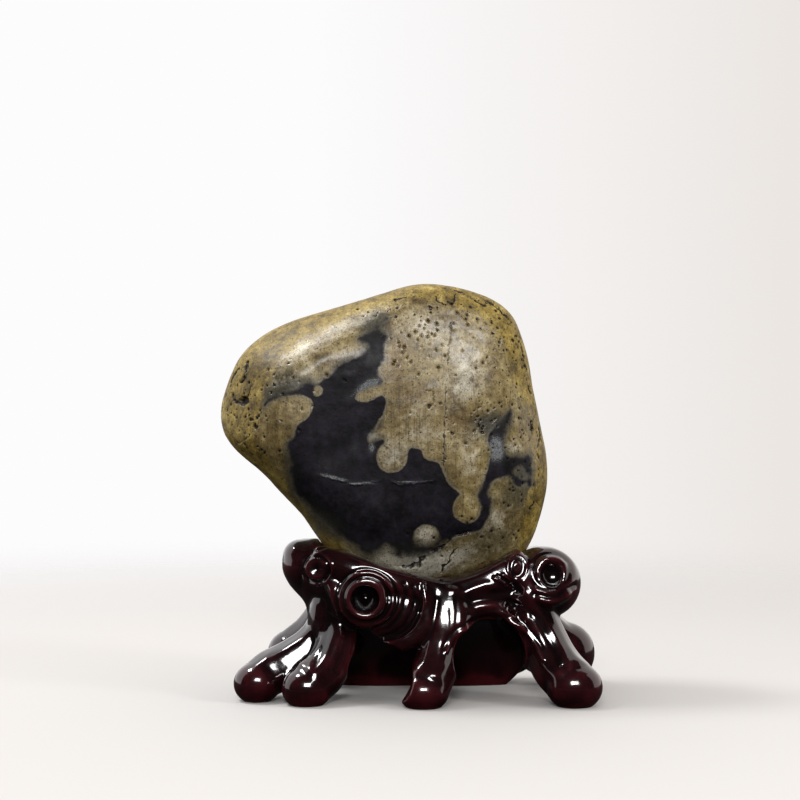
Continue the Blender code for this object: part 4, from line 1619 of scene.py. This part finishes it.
    def store_ridges(self, mesh: bpy.types.Mesh) -> None:
        """Stores how far each vertex stands proud of its neighbours, from 0 to 1, which the lacquer
        turns into painted shade and light.

        Args:
            mesh: The wood.
        """
        points = read_vectors(mesh, "co") / MM
        facing = read_vectors(mesh, "normal")
        ends = np.empty(len(mesh.edges) * 2, int)
        mesh.edges.foreach_get("vertices", ends)
        one, two = ends.reshape(-1, 2).T
        count = np.bincount(ends, minlength=len(points))[:, None]
        smooth = points
        for _ in range(self.ridge_spread):
            total = np.zeros_like(points)
            np.add.at(total, one, smooth[two])
            np.add.at(total, two, smooth[one])
            smooth = total / np.maximum(count, 1)
        proud = ((points - smooth) * facing).sum(axis=1)
        set_attribute(mesh, "ridge", np.clip(self.flat_ridge + proud * self.proud_ridge, 0, 1))

    def build(self, pebble: bpy.types.Object, middle: Place) -> bpy.types.Object:
        """Builds the stand under the stone.

        Args:
            pebble: The stone, in the same place as the stand's own values.
            middle: The stone's middle.

        Returns:
            The finished stand.
        """
        finish = self.finish.material()
        mesh = self.joined(finish)
        log.info("carved: %d faces", len(mesh.polygons))
        self.carve(mesh)
        wood = new_object("carving_fine", mesh)
        modify(wood, "thin out", "DECIMATE", ratio=self.kept_share)
        mesh = settled(wood)
        self.seat(mesh, pebble.data, middle)
        self.flatten_feet(mesh)
        self.store_ridges(mesh)
        mesh.materials.clear()
        mesh.materials.append(finish)
        mesh.shade_smooth()
        return new_object("carving", mesh)


@dataclass(frozen=True)
class Lamp:
    """A soft box: its place, what it points at, its width and height in metres, and its power.

    One that isn't mirrored only fills the shadows and leaves no highlight. One that isn't filling
    leaves a highlight and no more. One that is for a piece lights that piece alone, as a flagged
    lamp does.
    """

    name: str
    place: Place
    target: Place
    width: float
    height: float
    power: float
    mirrored: bool = True
    filling: bool = True
    piece: str = ""

    def hang(self) -> None:
        """Hangs the soft box."""
        data = bpy.data.lights.new(self.name, "AREA")
        data.shape = "RECTANGLE"
        data.size, data.size_y, data.energy = self.width, self.height, self.power
        made = new_object(self.name, data)
        made.location = self.place
        made.visible_glossy = self.mirrored
        made.visible_diffuse = self.filling
        if self.piece:
            lit = bpy.data.collections.new(f"lit by {self.name}")
            lit.objects.link(bpy.data.objects[self.piece])
            made.light_linking.receiver_collection = lit
        way = Vector(self.target) - Vector(self.place)
        made.rotation_euler = way.to_track_quat("-Z", "Y").to_euler()


@dataclass(frozen=True)
class Flag:
    """A black card that the object mirrors but no view shows: its place in metres and its turn.

    A turn is the axis that it is turned about by a quarter, or none for a level card. One that
    shades also darkens the light that fills the shadows.
    """

    name: str
    place: Place
    turn: str = ""
    shades: bool = False

    def matrix(self) -> Matrix:
        """Where the card hangs."""
        turn = Matrix.Rotation(math.pi / 2, 4, self.turn) if self.turn else Matrix.Identity(4)
        return Matrix.Translation(self.place) @ turn


@dataclass(frozen=True)
class Studio:
    """A pale floor, an even pale surround, soft boxes, black cards and the camera."""

    eye: Place = EYE
    lens: float = 75.97
    sensor: float = 36.0
    floor_radius: float = 3.0
    floor_solid: float = 0.35
    floor_gone: float = 1.5
    flag_size: float = 2.4
    air: str = "fdfcfd"
    warm_air: str = "ebe6e2"
    floor: str = "d8d5d2"
    card: str = "141212"
    lamps: tuple[Lamp, ...] = (
        Lamp("key", (0.5, -1.25, 1.25), (0.0, 0.0, 0.18), 0.24, 0.24, 8.0, piece="pebble"),
        Lamp("shoulder", (-0.75, 0.1, 1.35), (0.0, 0.0, 0.2), 0.3, 0.3, 9.0),
        Lamp("window", (-0.15, -1.7, 0.95), (0.0, 0.0, 0.1), 0.42, 0.3, 11.0),
        Lamp(
            "soft window", (0.05, -1.7, 0.95), (0.0, 0.0, 0.05), 0.8, 0.55, 26.0,
            filling=False, piece="carving",
        ),
        Lamp("right", (1.1, -0.5, 0.7), (0.0, 0.0, 0.15), 0.2, 0.3, 4.0, mirrored=False),
    )
    flags: tuple[Flag, ...] = (
        Flag("front_flag", (0, -2.4, 0.9), "X", shades=True),
        Flag("ground_flag", (0, 0, -0.02), shades=True),
        Flag("overhead_flag", (0, -2.2, 3.0)),
        Flag("left_flag", (-2.4, -2.9, 0.9), "Y"),
        Flag("right_flag", (2.4, -2.9, 0.9), "Y"),
    )

    def surround(self) -> None:
        """Sets the room behind, white on the left and a little warmer and darker on the right."""
        world = bpy.data.worlds.new("even surround")
        world.use_nodes = True
        add, sky = partial(add_node, world.node_tree), world.node_tree.nodes["Background"]
        across = add("ShaderNodeSeparateXYZ", {0: add("ShaderNodeTexCoord", out="Generated")}, out="X")
        share = add("ShaderNodeMapRange", {"Value": across, "From Min": -0.05, "From Max": 0.22})
        ends = {6: linear(self.air), 7: linear(self.warm_air)}
        shade = add("ShaderNodeMix", {0: share, **ends}, out=2, data_type="RGBA")
        feed(sky, {"Color": shade, "Strength": 1.0})
        bpy.context.scene.world = world
        bpy.context.scene.view_settings.view_transform = "Standard"

    def lay_floor(self) -> None:
        """Lays a pale floor that fades into the surround at its edge."""
        shape = bmesh.new()
        bmesh.ops.create_circle(shape, cap_ends=True, segments=96, radius=self.floor_radius)
        mesh = as_mesh(shape, "floor")
        paper, add, surface = new_material("pale paper")
        place = add("ShaderNodeTexCoord", out="Object")
        radius = add("ShaderNodeVectorMath", {0: place}, out="Value", operation="LENGTH")
        reach = {"Value": radius, "From Min": self.floor_solid, "From Max": self.floor_gone}
        solid = {**reach, "To Min": 1.0, "To Max": 0.0}
        alpha = add("ShaderNodeMapRange", solid, interpolation_type="SMOOTHSTEP")
        feed(surface, {"Base Color": linear(self.floor), "Roughness": 0.9, "Alpha": alpha})
        mesh.materials.append(paper)
        made = new_object("floor", mesh)
        made.visible_diffuse = False
        made.visible_glossy = False

    def hang_flags(self) -> None:
        """Hangs the black cards, which keep the room dark in the lacquer's reflections."""
        made, _, surface = new_material("black card")
        feed(surface, {"Base Color": linear(self.card), "Roughness": 0.95})
        for flag in self.flags:
            shape = bmesh.new()
            size = {"x_segments": 1, "y_segments": 1, "size": self.flag_size}
            bmesh.ops.create_grid(shape, matrix=flag.matrix(), **size)
            mesh = as_mesh(shape, flag.name)
            mesh.materials.append(made)
            card = new_object(flag.name, mesh)
            card.visible_camera = False
            card.visible_shadow = False
            card.visible_diffuse = flag.shades

    def aim(self, shift: Vector) -> None:
        """Sets the camera where the photograph was taken from.

        Args:
            shift: How far the model was moved to centre its footprint, in metres.
        """
        data = bpy.data.cameras.new("camera")
        data.sensor_width = self.sensor
        data.lens = self.lens
        camera = new_object("camera", data)
        camera.location = Vector(self.eye) * MM + shift
        camera.rotation_euler = (math.pi / 2, 0, 0)
        bpy.context.scene.camera = camera

    def set_up(self, shift: Vector) -> None:
        """Sets up the whole studio round the model.

        Args:
            shift: How far the model was moved to centre its footprint, in metres.
        """
        for lamp in self.lamps:
            lamp.hang()
        self.surround()
        self.lay_floor()
        self.hang_flags()
        self.aim(shift)


def centring(stone: RiverStone) -> Vector:
    """Finds how far the CAD model's stone stands from the values it was built with.

    Args:
        stone: The stone's values.

    Returns:
        The distance in metres, with nothing upwards.
    """
    shape = bmesh.new()
    bmesh.ops.create_icosphere(shape, subdivisions=5, radius=1)
    points = stone.form(np.array([vertex.co for vertex in shape.verts])) + np.array(stone.middle)
    shape.free()
    low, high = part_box("river_stone")
    own = (points.min(axis=0) + points.max(axis=0)) / 2 * MM
    return Vector(((low[0] + high[0]) / 2 - own[0], (low[1] + high[1]) / 2 - own[1], 0))


def hand_over(made: bpy.types.Object, node: str, shift: Vector) -> None:
    """Moves a finished piece to its CAD node's place and hides that node, which it stands for.

    Args:
        made: The piece.
        node: The CAD node, which the piece stands for.
        shift: How far to move it, in metres.
    """
    made.data.transform(Matrix.Translation(shift))
    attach(made, "root")
    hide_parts(node)
    made.data.calc_loop_triangles()
    log.info("%s: %d triangles", made.name, len(made.data.loop_triangles))


def main() -> None:
    """Dresses the model and sets the studio up."""
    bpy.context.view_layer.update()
    stone = RiverStone()
    shift = centring(stone)
    log.info("centring shift: %s", shift)
    pebble = stone.build()
    carving = CarvedStand().build(pebble, stone.middle)
    hand_over(pebble, "river_stone", shift)
    hand_over(carving, "carved_stand", shift)
    Studio().set_up(shift)


if __name__ == "__main__":
    main()
